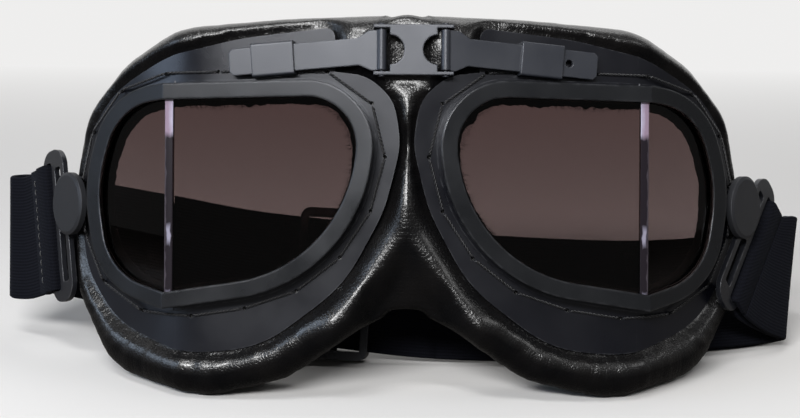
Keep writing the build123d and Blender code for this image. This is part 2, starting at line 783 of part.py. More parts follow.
def cup_pieces(side):
    """Named pieces of one cup, drawn for the right side; side is 1 there and -1 on the left."""
    shift = side * BRIDGE_SHIFT
    return {
        "lens_frame": lens_frame(),
        "front_lens": front_lens(),
        "side_lens": side_lens(),
        "lens_gasket": lens_gasket(),
        "face_plate": face_plate(),
        "leather_pad": leather_pad(),
        "felt_lining": felt_lining(),
        "bar_keeper": bar_keeper(shift),
        "slide_bar": slide_bar(shift),
        "button_post": button_post(),
        "button_washer": button_washer(),
        "button_cap": button_cap(),
    }


def stood(shape):
    """An upright mask piece leaned back as the mask stands."""
    return Rot(X=-LEAN) * shape


def table_cut(shape):
    """A piece cut flat where the mask stands on it."""
    reach = 4 * CUP_REACH
    return shape - Pos(Z=-STAND_HEIGHT - reach / 2) * Box(reach, reach, reach)


def all_pieces():
    """Every named piece in the standing frame."""
    pieces = {
        "bridge_link": stood(bridge_link()),
        "nose_leather": stood(nose_leather()),
    }
    for side, name in ((1, "right"), (-1, "left")):
        tilt = LOOP_TILT_RIGHT if side == 1 else LOOP_TILT_LEFT
        length = RIGHT_TURN_LENGTH if side == 1 else LEFT_FOLD_LENGTH
        pin = Pos(BRIDGE_SHIFT, PIN_DEPTH, BRIDGE_RISE) * (Rot(Z=0 if side == 1 else 180) * bridge_pin())
        pieces["bridge_pin_" + name] = stood(pin)
        group = cup_pieces(side)
        group["strap_loop"] = strap_loop(tilt)
        group["strap_wrap"] = strap_wrap(tilt, length, side == -1)
        for piece, shape in group.items():
            if side == -1:
                shape = mirror(shape, about=Plane.YZ)
            pieces[piece + "_" + name] = stood(shape)
        pad = "leather_pad_" + name
        pieces[pad] = table_cut(pieces[pad])
    pieces["strap_band"] = strap_band()
    pieces["strap_return"] = strap_return()
    pieces["strap_slider"] = strap_slider()
    pieces["strap_hem"] = strap_hem()
    return pieces


def origin_shift(pieces):
    """Move that brings the middle of the whole part's foot to the origin."""
    box = Compound(list(pieces.values())).bounding_box()
    return Vector(-box.center().X, -box.center().Y, -box.min.Z)


def main():
    os.makedirs("parts", exist_ok=True)
    pieces = all_pieces()
    shift = origin_shift(pieces)
    print("origin shift", shift)
    for name, shape in pieces.items():
        export_step(Pos(shift) * shape, os.path.join("parts", name + ".step"))


if __name__ == "__main__":
    main()
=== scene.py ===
import logging
import math
from dataclasses import dataclass, field
from enum import Enum

import bmesh
import bpy
import numpy as np
from mathutils import Euler, Matrix, Vector, noise


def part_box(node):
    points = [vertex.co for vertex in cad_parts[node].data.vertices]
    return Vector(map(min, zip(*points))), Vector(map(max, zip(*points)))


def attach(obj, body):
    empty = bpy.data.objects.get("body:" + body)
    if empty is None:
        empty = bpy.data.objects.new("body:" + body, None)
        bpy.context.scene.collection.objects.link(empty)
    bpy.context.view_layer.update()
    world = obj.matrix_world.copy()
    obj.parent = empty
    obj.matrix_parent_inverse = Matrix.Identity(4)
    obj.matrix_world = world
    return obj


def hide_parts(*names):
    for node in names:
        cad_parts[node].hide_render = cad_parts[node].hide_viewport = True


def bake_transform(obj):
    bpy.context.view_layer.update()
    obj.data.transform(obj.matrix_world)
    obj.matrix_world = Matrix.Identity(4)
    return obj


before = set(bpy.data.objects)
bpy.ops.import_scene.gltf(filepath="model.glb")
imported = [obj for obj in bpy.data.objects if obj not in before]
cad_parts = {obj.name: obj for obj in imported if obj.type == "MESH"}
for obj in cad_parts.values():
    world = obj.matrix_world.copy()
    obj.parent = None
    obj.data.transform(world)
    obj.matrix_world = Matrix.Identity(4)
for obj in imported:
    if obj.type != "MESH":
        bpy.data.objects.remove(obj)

logging.basicConfig(level=logging.INFO, format="%(message)s")
LOG = logging.getLogger("flying_goggles")

MM = 0.001
LEAN = math.radians(12)
STOOD_AT = Vector((0.206151, -42.1556, 55.2232))
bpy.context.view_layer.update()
PLATE_BENDS = ((63.654, 15, 30), (91.56, 6, 11))


class Side(Enum):
    """The two sides of the mask, each with the sign of its reach across."""

    RIGHT = 1
    LEFT = -1

    @property
    def tag(self) -> str:
        """Name of the side in lower case."""
        return self.name.lower()


def stood(x: float, y: float, z: float) -> Vector:
    """Moves a point of the upright mask to where it leans on the table.

    Args:
        x: Reach to the right of the mask's middle, in millimetres.
        y: Depth behind the lens frames' face at the nose.
        z: Height over the eye line.

    Returns:
        The point in the row frame, in metres.
    """
    turned = Matrix.Rotation(-LEAN, 3, "X") @ Vector((x, y, z))
    return (turned + STOOD_AT) * MM


def upright(points: np.ndarray) -> np.ndarray:
    """Takes points of the row frame back to the upright mask.

    Args:
        points: Rows of places in metres.

    Returns:
        The same rows in millimetres, square to the mask.
    """
    shifted = points / MM - np.array(STOOD_AT)
    turn = np.array(Matrix.Rotation(LEAN, 3, "X"))
    return shifted @ turn.T


def standing(points: np.ndarray) -> np.ndarray:
    """Takes points of the upright mask to the row frame.

    Args:
        points: Rows of places in millimetres.

    Returns:
        The same rows in metres, as the mask leans.
    """
    turn = np.array(Matrix.Rotation(-LEAN, 3, "X"))
    return (points @ turn.T + np.array(STOOD_AT)) * MM


def rows_of(source: bpy.types.bpy_prop_collection, name: str) -> np.ndarray:
    """Reads one vector of every item of a collection, as rows.

    Args:
        source: The collection.
        name: Name of the vector.

    Returns:
        One row for each item.
    """
    flat = np.zeros(len(source) * 3)
    source.foreach_get(name, flat)
    return flat.reshape(-1, 3)


def linked(name: str, mesh: bpy.types.Mesh) -> bpy.types.Object:
    """Puts a mesh into the scene as an object.

    Args:
        name: Name of the object.
        mesh: Its mesh.

    Returns:
        The linked object.
    """
    piece = bpy.data.objects.new(name, mesh)
    bpy.context.scene.collection.objects.link(piece)
    return piece


def copied(node: str, name: str) -> bpy.types.Object:
    """Copies a CAD node's mesh, bare of its finish, into a new object.

    Args:
        node: Name of the CAD node.
        name: Name of the new object.

    Returns:
        The new object.
    """
    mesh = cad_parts[node].data.copy()
    mesh.materials.clear()
    return linked(name, mesh)


def smoothed(piece: bpy.types.Object) -> bpy.types.Object:
    """Shades every face of a piece smooth."""
    piece.data.polygons.foreach_set("use_smooth", [True] * len(piece.data.polygons))
    return piece


def rising(value: float | np.ndarray, start: float, run: float) -> float | np.ndarray:
    """A share that grows from 0 at a start to 1 after a run."""
    return np.clip((value - start) / run, 0, 1)


def falling(value: float | np.ndarray, end: float, run: float) -> float | np.ndarray:
    """A share that falls to 0 at an end, from 1 a run before it."""
    return np.clip((end - value) / run, 0, 1)


def runs_along(points: np.ndarray) -> np.ndarray:
    """How far each point of a line lies from its start, along the line."""
    return np.concatenate([[0], np.cumsum(np.linalg.norm(np.diff(points, axis=0), axis=1))])


def remeshed(piece: bpy.types.Object, gap: float) -> None:
    """Adds a voxel remesh of a gap in millimetres.

    Args:
        piece: The piece to remesh.
        gap: Gap from corner to corner.
    """
    remesh = piece.modifiers.new("skin", "REMESH")
    remesh.mode = "VOXEL"
    remesh.voxel_size = gap * MM


def softened(piece: bpy.types.Object, rounds: int) -> bpy.types.Object:
    """Adds a smoothing of so many rounds.

    Args:
        piece: The piece to smooth.
        rounds: How many rounds.

    Returns:
        The same piece.
    """
    ease = piece.modifiers.new("ease", "SMOOTH")
    ease.factor = 0.5
    ease.iterations = rounds
    return piece


def tube_faces(first: int, steps: int, sides: int) -> list:
    """Faces of a round thread whose rings of corners follow one another.

    Args:
        first: Number of its first corner.
        steps: Rings, less one.
        sides: Corners in a ring.

    Returns:
        Corner numbers of each face.
    """
    faces = []
    for step in range(steps):
        for corner in range(sides):
            a = first + step * sides + corner
            b = first + step * sides + (corner + 1) % sides
            faces.append((a, b, b + sides, a + sides))
    return faces


def laid_out(piece: bpy.types.Object, places: list) -> bpy.types.Object:
    """Stores each corner's place as the piece's own coordinates.

    Args:
        piece: The object.
        places: Two coordinates for every corner.

    Returns:
        The same object.
    """
    layer = piece.data.uv_layers.new(name="run")
    for loop in piece.data.loops:
        layer.data[loop.index].uv = places[loop.vertex_index]
    return piece


def new_object(name: str, verts: list, faces: list, smooth: bool = True) -> bpy.types.Object:
    """Makes a mesh object from its corners and faces.

    Args:
        name: Name of the piece.
        verts: Corners in metres.
        faces: Corner numbers of each face.
        smooth: Whether its faces are shaded smooth.

    Returns:
        The linked object.
    """
    mesh = bpy.data.meshes.new(name)
    mesh.from_pydata([tuple(v) for v in verts], [], faces)
    mesh.validate()
    mesh.polygons.foreach_set("use_smooth", [smooth] * len(mesh.polygons))
    mesh.update()
    return linked(name, mesh)


def settled(piece: bpy.types.Object) -> bpy.types.Object:
    """Applies a piece's modifiers to its mesh.

    Args:
        piece: The object to settle.

    Returns:
        The same object with a plain mesh.
    """
    graph = bpy.context.evaluated_depsgraph_get()
    graph.update()
    mesh = bpy.data.meshes.new_from_object(piece.evaluated_get(graph))
    piece.modifiers.clear()
    piece.data = mesh
    return piece


def dressed(piece: bpy.types.Object, material: bpy.types.Material) -> bpy.types.Object:
    """Gives a piece its finish.

    Args:
        piece: The object to dress.
        material: Its finish.

    Returns:
        The dressed object.
    """
    piece.data.materials.clear()
    piece.data.materials.append(material)
    return piece


class Shading:
    """A material's node tree with short ways to add and join nodes."""

    def __init__(self, name: str) -> None:
        """Starts an empty material.

        Args:
            name: Name of the material.
        """
        self.material = bpy.data.materials.new(name)
        self.material.use_nodes = True
        self.tree = self.material.node_tree
        self.shader = self.tree.nodes["Principled BSDF"]

    def add(self, kind: str, **values: object) -> bpy.types.Node:
        """Adds a node and sets its properties.

        Args:
            kind: Blender's name for the node type.
            **values: Properties of the node.

        Returns:
            The new node.
        """
        node = self.tree.nodes.new(kind)
        for key, value in values.items():
            setattr(node, key, value)
        return node

    def join(self, source: bpy.types.NodeSocket, target: bpy.types.NodeSocket) -> None:
        """Links one socket to another."""
        self.tree.links.new(source, target)

    def place(self, scale: tuple = (1, 1, 1), uv: bool = False) -> bpy.types.NodeSocket:
        """Coordinates of the surface, scaled.

        Args:
            scale: Scale on each axis.
            uv: Whether to follow the piece's own run instead of its room.

        Returns:
            The vector socket.
        """
        source = self.add("ShaderNodeTexCoord")
        mapping = self.add("ShaderNodeMapping")
        mapping.inputs["Scale"].default_value = scale
        self.join(source.outputs["UV" if uv else "Object"], mapping.inputs["Vector"])
        return mapping.outputs["Vector"]

    def axes(self, vector: bpy.types.NodeSocket) -> list:
        """The three parts of a vector.

        Args:
            vector: The vector.

        Returns:
            Its parts across, deep and up.
        """
        node = self.add("ShaderNodeSeparateXYZ")
        self.join(vector, node.inputs[0])
        return list(node.outputs)

    def facing(self) -> bpy.types.NodeSocket:
        """The surface's plain normal."""
        return self.add("ShaderNodeNewGeometry").outputs["Normal"]

    def fill(self, values: dict) -> None:
        """Gives the shader's inputs their numbers, colours or sockets.

        Args:
            values: What each input is given, by its name.
        """
        for name, value in values.items():
            target = self.shader.inputs[name]
            if isinstance(value, bpy.types.NodeSocket):
                self.join(value, target)
            else:
                target.default_value = value

    def noise(self, vector: bpy.types.NodeSocket, scale: float, detail: float = 3) -> bpy.types.NodeSocket:
        """A noise pattern over a vector.

        Args:
            vector: The vector.
            scale: How fine the pattern is.
            detail: How many finer layers it has.

        Returns:
            The pattern.
        """
        node = self.add("ShaderNodeTexNoise")
        node.inputs["Scale"].default_value = scale
        node.inputs["Detail"].default_value = detail
        self.join(vector, node.inputs["Vector"])
        return node.outputs["Fac"]

    def wave(self, vector: bpy.types.NodeSocket, axis: str, gap: float, distortion: float,
             detail: float) -> bpy.types.NodeSocket:
        """Even bands over a vector.

        Args:
            vector: The vector.
            axis: The axis that the bands follow one another along.
            gap: Distance from band to band in millimetres.
            distortion: How far the bands waver.
            detail: Detail of the wavering.

        Returns:
            The pattern.
        """
        node = self.add("ShaderNodeTexWave", bands_direction=axis)
        node.inputs["Scale"].default_value = 2 * math.pi / (20 * gap * MM)
        node.inputs["Distortion"].default_value = distortion
        node.inputs["Detail"].default_value = detail
        self.join(vector, node.inputs["Vector"])
        return node.outputs["Fac"]

    def cells(self, vector: bpy.types.NodeSocket, scale: float) -> bpy.types.NodeSocket:
        """Distance to the edge of pebble-like cells over a vector.

        Args:
            vector: The vector.
            scale: How small the cells are.

        Returns:
            The distance.
        """
        node = self.add("ShaderNodeTexVoronoi", feature="DISTANCE_TO_EDGE")
        node.inputs["Scale"].default_value = scale
        self.join(vector, node.inputs["Vector"])
        return node.outputs["Distance"]

    def ramp(self, value: bpy.types.NodeSocket, low: float, high: float,
             ends: tuple = (0, 1)) -> bpy.types.NodeSocket:
        """Maps a value from one span to another.

        Args:
            value: The value to map.
            low: Start of its span.
            high: End of its span.
            ends: The span it is mapped to.

        Returns:
            The mapped value.
        """
        node = self.add("ShaderNodeMapRange")
        node.inputs["From Min"].default_value = low
        node.inputs["From Max"].default_value = high
        node.inputs["To Min"].default_value = ends[0]
        node.inputs["To Max"].default_value = ends[1]
        self.join(value, node.inputs["Value"])
        return node.outputs["Result"]

    def mix(self, share: bpy.types.NodeSocket, first: object, second: object) -> bpy.types.NodeSocket:
        """Mixes two colours by a share.

        Args:
            share: How far towards the second colour.
            first: The first colour, as three numbers or a socket.
            second: The second colour, as three numbers or a socket.

        Returns:
            The mixed colour.
        """
        node = self.add("ShaderNodeMix", data_type="RGBA")
        sources = {"Factor": share, "A": first, "B": second}
        for socket in node.inputs:
            if not socket.enabled or socket.name not in sources:
                continue
            source = sources[socket.name]
            if isinstance(source, tuple):
                socket.default_value = (*source, 1)
            else:
                self.join(source, socket)
        return [socket for socket in node.outputs if socket.type == "RGBA"][0]

    def bump(self, height: bpy.types.NodeSocket, depth: float, strength: float = 1,
             under: bpy.types.NodeSocket = None) -> bpy.types.NodeSocket:
        """Turns a height into a bent normal.

        Args:
            height: The height pattern.
            depth: Its real depth in metres.
            strength: How much of it shows.
            under: A normal to build on.

        Returns:
            The normal socket.
        """
        node = self.add("ShaderNodeBump")
        node.inputs["Distance"].default_value = depth
        node.inputs["Strength"].default_value = strength
        self.join(height, node.inputs["Height"])
        if under is not None:
            self.join(under, node.inputs["Normal"])
        return node.outputs["Normal"]

    def eased(self, radius: float) -> bpy.types.NodeSocket:
        """A normal that rounds sharp edges by a radius in metres.

        Args:
            radius: The radius.

        Returns:
            The normal.
        """
        node = self.add("ShaderNodeBevel", samples=6)
        node.inputs["Radius"].default_value = radius
        return node.outputs["Normal"]

    def reckon(self, kind: str, first: bpy.types.NodeSocket, second: object) -> bpy.types.NodeSocket:
        """One step of arithmetic on a value.

        Args:
            kind: Blender's name for the step.
            first: The value.
            second: A number or a second value.

        Returns:
            The result.
        """
        node = self.add("ShaderNodeMath", operation=kind)
        self.join(first, node.inputs[0])
        if isinstance(second, (int, float)):
            node.inputs[1].default_value = second
        else:
            self.join(second, node.inputs[1])
        return node.outputs[0]

    def swept(self) -> bpy.types.NodeSocket:
        """A normal that eases the face plate's bends into one curve towards the temple.

        Returns:
            The normal.
        """
        across = self.reckon("SUBTRACT", self.axes(self.place())[0], STOOD_AT.x * MM)
        reach = self.reckon("ABSOLUTE", across, 0)
        turned = None
        for bend, ease, angle in PLATE_BENDS:
            node = self.add("ShaderNodeMapRange", interpolation_type="SMOOTHSTEP")
            node.inputs["From Min"].default_value = (bend - ease) * MM
            node.inputs["From Max"].default_value = (bend + ease) * MM
            self.join(reach, node.inputs["Value"])
            off = self.reckon("SUBTRACT", node.outputs["Result"], self.reckon("GREATER_THAN", reach, bend * MM))
            off = self.reckon("MULTIPLY", off, math.radians(angle))
            turned = off if turned is None else self.reckon("ADD", turned, off)
        signed = self.reckon("MULTIPLY", turned, self.reckon("SIGN", across, 0))
        turn = self.add("ShaderNodeVectorRotate", rotation_type="AXIS_ANGLE")
        turn.inputs["Axis"].default_value = (0, math.sin(LEAN), math.cos(LEAN))
        self.join(self.facing(), turn.inputs["Vector"])
        self.join(signed, turn.inputs["Angle"])
        return turn.outputs["Vector"]

    def edge_wear(self, radius: float) -> bpy.types.NodeSocket:
        """How close a place is to an edge, from 0 on a flat to 1 on the edge.

        Args:
            radius: How far from an edge it starts, in metres.

        Returns:
            The closeness.
        """
        dot = self.add("ShaderNodeVectorMath", operation="DOT_PRODUCT")
        self.join(self.eased(radius), dot.inputs[0])
        self.join(self.facing(), dot.inputs[1])
        return self.ramp(dot.outputs["Value"], 0.995, 0.80)


@dataclass(frozen=True)
class SatinBlack:
    """Satin black enamel on metal, with dust and edges worn paler."""

    name: str = "satin_black_enamel"
    base: tuple = (0.0052, 0.0055, 0.0068)
    worn: tuple = (0.075, 0.078, 0.085)
    roughness: float = 0.31
    wear: float = 0.55
    rounding: float = 0.00035
    gloss_index: float = 1.5
    tint: tuple = (0.92, 0.94, 1.0)
    bent: bool = False

    def make(self) -> bpy.types.Material:
        """Builds the enamel's material.

        Returns:
            The material.
        """
        s = Shading(self.name)
        room = s.place()
        broken = s.reckon("MULTIPLY", s.edge_wear(self.rounding * 1.6), s.ramp(s.noise(room, 420, 5), 0.42, 0.62))
        under = s.swept() if self.bent else s.eased(self.rounding)
        s.fill({
            "Base Color": s.mix(s.reckon("MULTIPLY", broken, self.wear), self.base, self.worn),
            "Roughness": s.ramp(s.noise(room, 60, 4), 0.3, 0.7, (self.roughness - 0.06, self.roughness + 0.08)),
            "Normal": s.bump(s.noise(room, 2600, 2), 0.00002, 0.5, under),
            "IOR": self.gloss_index,
            "Specular Tint": (*self.tint, 1),
        })
        return s.material


@dataclass(frozen=True)
class GlossLeather:
    """Glossy grained leather with gathers across its roll."""

    name: str = "gloss_leather"
    base: tuple = (0.0028, 0.0028, 0.0032)
    bloom: tuple = (0.006, 0.0055, 0.0055)
    roughness: float = 0.28
    grain: float = 1000

    def make(self) -> bpy.types.Material:
        """Builds the leather's material.

        Returns:
            The material.
        """
        s = Shading(self.name)
        room = s.place()
        fine = s.noise(room, 2400, 3)
        upward = s.axes(s.facing())[2]
        heights = (
            (s.noise(s.place((1.0, 0.16, 1), uv=True), 300, 3), 0.0005, 0.40),
            (s.noise(s.place((1.0, 0.22, 1), uv=True), 900, 2), 0.0003, 0.50),
            (s.ramp(s.cells(room, self.grain), 0, 0.22), 0.00009, 0.5),
            (fine, 0.00006, 0.7),
        )
        normal = None
        for height, depth, strength in heights:
            normal = s.bump(height, depth, strength, normal)
        s.fill({
            "Base Color": s.mix(s.ramp(s.noise(room, 90, 3), 0.35, 0.7), self.base, self.bloom),
            "Roughness": s.ramp(fine, 0.25, 0.75, (self.roughness - 0.06, self.roughness + 0.1)),
            "Normal": normal,
            "Specular IOR Level": s.ramp(upward, -0.05, 0.42, (0.06, 0.60)),
            "Coat Weight": s.ramp(upward, 0.10, 0.48, (0.0, 0.60)),
            "Coat Roughness": 0.22,
        })
        return s.material


@dataclass(frozen=True)
class RibbedElastic:
    """Black woven elastic with fine ribs along it and a faint cross weave."""

    name: str = "ribbed_elastic"
    base: tuple = (0.0022, 0.0025, 0.0045)
    raised: tuple = (0.0045, 0.0050, 0.0085)
    rib: float = 0.95
    pick: float = 0.55

    def make(self) -> bpy.types.Material:
        """Builds the elastic's material.

        Returns:
            The material.
        """
        s = Shading(self.name)
        run = s.place(uv=True)
        ribs = s.wave(run, "Y", self.rib, 0.6, 1)
        picks = s.wave(run, "X", self.pick, 1.2, 2)
        weave = s.reckon("MULTIPLY", ribs, s.ramp(picks, 0, 1, (0.55, 1)))
        lint = s.noise(s.place(), 1900, 4)
        s.fill({
            "Base Color": s.mix(weave, self.base, self.raised),
            "Normal": s.bump(lint, 0.0001, 0.5, s.bump(weave, 0.00016, 0.8)),
            "Roughness": 0.88,
            "Specular IOR Level": 0.1,
            "Sheen Weight": 0.025,
            "Sheen Roughness": 0.5,
            "Sheen Tint": (0.35, 0.4, 0.55, 1),
        })
        return s.material


@dataclass(frozen=True)
class BlackFelt:
    """Fuzzy black felt."""

    name: str = "black_felt"
    base: tuple = (0.003, 0.003, 0.0035)
    fibre: tuple = (0.012, 0.011, 0.011)

    def make(self) -> bpy.types.Material:
        """Builds the felt's material.

        Returns:
            The material.
        """
        s = Shading(self.name)
        fuzz = s.noise(s.place(), 1500, 6)
        s.fill({
            "Base Color": s.mix(s.ramp(fuzz, 0.4, 0.75), self.base, self.fibre),
            "Normal": s.bump(fuzz, 0.0005, 0.9),
            "Roughness": 0.95,
            "Specular IOR Level": 0.15,
            "Sheen Weight": 0.08,
        })
        return s.material


@dataclass(frozen=True)
class BlackRubber:
    """Dull black rubber with a faint bloom."""

    name: str = "black_rubber"
    base: tuple = (0.008, 0.008, 0.009)
    bloom: tuple = (0.02, 0.02, 0.021)

    def make(self) -> bpy.types.Material:
        """Builds the rubber's material.

        Returns:
            The material.
        """
        s = Shading(self.name)
        patches = s.noise(s.place(), 300, 4)
        s.fill({"Base Color": s.mix(patches, self.base, self.bloom),
                "Roughness": s.ramp(patches, 0.3, 0.7, (0.5, 0.65))})
        return s.material


@dataclass(frozen=True)
class SmokeGlass:
    """Faintly smoked pane with a few hair scratches; painted shade darkens its tint towards the top."""

    name: str = "smoke_glass"
    # upper: the tint at the top, darkened by painted shade; lower: the plain smoke tint; span: heights in metres
    # over which the painted shade comes in
    upper: tuple = (0.088, 0.052, 0.050)
    lower: tuple = (0.185, 0.138, 0.134)
    span: tuple = (0.035, 0.085)
    scratched: float = 0.035

    def make(self) -> bpy.types.Material:
        """Builds the glass's material, its smoke tint darkened towards the top by painted shade.

        Returns:
            The material.
        """
        s = Shading(self.name)
        s.fill({
            # painted shade: the tint darkens with height, from the lower colour to the upper one
            "Base Color": s.mix(s.ramp(s.axes(s.place())[2], *self.span), self.lower, self.upper),
            "Roughness": s.ramp(s.noise(s.place((1, 1, 0.05)), 900, 6), 0.66, 0.74, (0.01, self.scratched)),
            "Transmission Weight": 1,
            "IOR": 1.3,
        })
        return s.material


@dataclass(frozen=True)
class GroundGlass:
    """The pale ground edge where the two panes meet."""

    name: str = "ground_glass"
    pale: tuple = (0.25, 0.185, 0.25)
    bright: tuple = (0.42, 0.40, 0.52)
    deep: tuple = (0.010, 0.007, 0.011)
    rim: tuple = (0.05, 0.042, 0.052)
    pale_from: float = 0.81
    glints: tuple = ((0.33, 0.06), (0.02, 0.04))

    def make(self) -> bpy.types.Material:
        """Builds the ground edge: pale at its head, dark below with a thin rim and two glints.

        Returns:
            The material.
        """
        s = Shading(self.name)
        place = s.axes(s.place(uv=True))
        wander = s.reckon("MULTIPLY", s.noise(s.place((0.2, 1, 1), uv=True), 14, 3), 0.5)
        across = s.reckon("ADD", place[0], wander)
        up = s.reckon("ADD", place[1], s.reckon("MULTIPLY", s.noise(s.place(uv=True), 3, 2), 0.03))
        lower = s.mix(s.ramp(across, 0.92, 1.0), self.deep, self.rim)
        upper = s.mix(s.ramp(across, 0.35, 0.8), self.bright, self.pale)
        head = s.ramp(up, self.pale_from, self.pale_from + 0.03)
        glint = None
        for middle, reach in self.glints:
            away = s.reckon("ABSOLUTE", s.reckon("SUBTRACT", up, middle), 0)
            near = s.ramp(away, reach, reach * 0.4)
            glint = near if glint is None else s.reckon("MAXIMUM", glint, near)
        band = s.reckon("MULTIPLY", s.ramp(across, 0.55, 0.65), s.ramp(across, 0.95, 0.85))
        lit = s.reckon("MULTIPLY", s.reckon("MULTIPLY", glint, band), 0.6)
        s.fill({"Base Color": s.mix(head, s.mix(lit, lower, self.bright), upper),
                "Roughness": 0.22, "Coat Weight": 0.2})
        return s.material


@dataclass(frozen=True)
class WaxedThread:
    """Waxed black sewing thread."""

    name: str = "waxed_thread"
    base: tuple = (0.004, 0.004, 0.0045)
    fibre: tuple = (0.035, 0.035, 0.039)

    def make(self) -> bpy.types.Material:
        """Builds the thread's material.

        Returns:
            The material.
        """
        s = Shading(self.name)
        fibres = s.noise(s.place(), 2400, 3)
        s.fill({"Base Color": s.mix(s.ramp(fibres, 0.4, 0.7), self.base, self.fibre),
                "Normal": s.bump(fibres, 0.0001, 0.6), "Roughness": 0.5})
        return s.material


@dataclass
class Finishes:
    """Every finish of the goggles, built once."""

    enamel: bpy.types.Material = field(default_factory=lambda: SatinBlack().make())
    plate: bpy.types.Material = field(default_factory=lambda: SatinBlack(
        name="plate_enamel", base=(0.0026, 0.0028, 0.0050), roughness=0.31, gloss_index=1.50, bent=True).make())
    bar: bpy.types.Material = field(default_factory=lambda: SatinBlack(
        name="bar_enamel", base=(0.018, 0.020, 0.026), roughness=0.36, rounding=0.0005, gloss_index=1.6).make())
    cap: bpy.types.Material = field(default_factory=lambda: SatinBlack(
        name="dull_cap_enamel", base=(0.011, 0.0115, 0.0135), roughness=0.55, wear=0.35).make())
    worn: bpy.types.Material = field(default_factory=lambda: SatinBlack(
        name="worn_loop_enamel", base=(0.0085, 0.009, 0.0115), worn=(0.11, 0.11, 0.115), wear=0.8).make())
    rim: bpy.types.Material = field(default_factory=lambda: SatinBlack(
        name="lens_rim_enamel", base=(0.0045, 0.005, 0.006), roughness=0.30, wear=0.35, rounding=0.0008).make())
    leather: bpy.types.Material = field(default_factory=lambda: GlossLeather().make())
    elastic: bpy.types.Material = field(default_factory=lambda: RibbedElastic().make())
    felt: bpy.types.Material = field(default_factory=lambda: BlackFelt().make())
    rubber: bpy.types.Material = field(default_factory=lambda: BlackRubber().make())
    glass: bpy.types.Material = field(default_factory=lambda: SmokeGlass().make())
    ground: bpy.types.Material = field(default_factory=lambda: GroundGlass().make())
    thread: bpy.types.Material = field(default_factory=lambda: WaxedThread().make())


def corner_arc(before: np.ndarray, corner: np.ndarray, after: np.ndarray, radius: float, steps: int = 8) -> list:
    """Rounds one corner of a drawing.

    Args:
        before: The corner before it.
        corner: The corner itself.
        after: The corner after it.
        radius: Radius of the round.
        steps: Points along the arc, less one.

    Returns:
        Points along the arc.
    """
    if radius <= 0:
        return [corner]
    first = (before - corner) / np.linalg.norm(before - corner)
    second = (after - corner) / np.linalg.norm(after - corner)
    half = math.acos(max(-1, min(1, float(first @ second)))) / 2
    reach = radius / math.tan(half)
    centre = corner + (first + second) / np.linalg.norm(first + second) * radius / math.sin(half)
    start = corner + first * reach - centre
    end = corner + second * reach - centre
    swing = math.acos(max(-1, min(1, float(start @ end) / radius**2)))
    points = []
    for step in range(steps + 1):
        share = step / steps
        points.append(centre + (start * math.sin((1 - share) * swing) + end * math.sin(share * swing))
                      / math.sin(swing))
    return points


@dataclass(frozen=True)
class CupOutlines:
    """Outlines of one cup as shares of its reach and rise, with each corner's radius."""

    reach: float = 99
    rise: float = 52
    lens: tuple = ((0.069, 0.668, 0.345), (0.678, 0.650, 0.0), (0.850, 0.620, 0.40), (0.935, 0.130, 0.80),
                   (0.886, -0.420, 0.42), (0.671, -0.530, 0.0), (0.133, -0.370, 0.82))
    plate: tuple = ((0.016, 0.330, 0.20), (0.035, 0.565, 0.10), (0.108, 0.690, 0.03), (0.198, 0.712, 0.0),
                    (0.198, 0.945, 0.05), (0.460, 0.893, 0.60), (0.680, 0.800, 0.60), (0.850, 0.640, 0.50),
                    (0.945, 0.380, 0.40), (0.966, -0.020, 0.60), (0.945, -0.330, 0.40), (0.840, -0.625, 0.45),
                    (0.620, -0.775, 0.60), (0.400, -0.735, 0.60), (0.170, -0.400, 0.70), (0.060, -0.010, 0.60))
    pad: tuple = ((0.0535, 1.014, 0.0), (0.330, 1.004, 0.6), (0.640, 0.965, 0.6), (0.810, 0.795, 0.4),
                  (0.945, 0.530, 0.4), (0.998, 0.080, 0.6), (0.985, -0.460, 0.35), (0.850, -0.900, 0.33),
                  (0.560, -1.010, 0.5), (0.330, -0.905, 0.5), (0.140, -0.655, 0.5), (0.0535, -0.570, 0.0))

    def line(self, shares: tuple, steps: int = 8) -> np.ndarray:
        """The closed outline as points across and up.

        Args:
            shares: Corners and radii as shares.
            steps: Points along each round corner, less one.

        Returns:
            Rows of across and up in millimetres.
        """
        corners = [np.array((x * self.reach, z * self.rise)) for x, z, _ in shares]
        points = []
        for index, (_, _, radius) in enumerate(shares):
            points += corner_arc(corners[index - 1], corners[index], corners[(index + 1) % len(corners)],
                                 radius * self.rise, steps)
        return np.array(points)

    def even(self, shares: tuple, gap: float) -> np.ndarray:
        """The outline as points an even gap apart.

        Args:
            shares: Corners and radii as shares.
            gap: Distance between points in millimetres.

        Returns:
            Rows of across and up.
        """
        line = self.line(shares)
        loop = np.vstack([line, line[:1]])
        runs = runs_along(loop)
        count = int(runs[-1] / gap)
        at = np.linspace(0, runs[-1], count, endpoint=False)
        return np.stack([np.interp(at, runs, loop[:, 0]), np.interp(at, runs, loop[:, 1])], axis=1)

    def ring(self, shares: tuple, inset: float, gap: float) -> np.ndarray:
        """The outline drawn larger by an even inset, as points an even gap apart.

        Args:
            shares: Corners and radii as shares.
            inset: How far outside the outline it runs.
            gap: Distance between points before it is drawn larger.

        Returns:
            Rows of across and up.
        """
        points = self.even(shares, gap)
        ahead = np.roll(points, -2, axis=0) - np.roll(points, 2, axis=0)
        ahead = ahead / np.linalg.norm(ahead, axis=1)[:, None]
        wider = points + np.stack([-ahead[:, 1], ahead[:, 0]], axis=1) * inset
        loop = np.vstack([wider, wider[:1]])
        runs = runs_along(loop)
        at = np.linspace(0, runs[-1], int(runs[-1] / gap), endpoint=False)
        return np.stack([np.interp(at, runs, loop[:, 0]), np.interp(at, runs, loop[:, 1])], axis=1)


OUTLINES = CupOutlines()


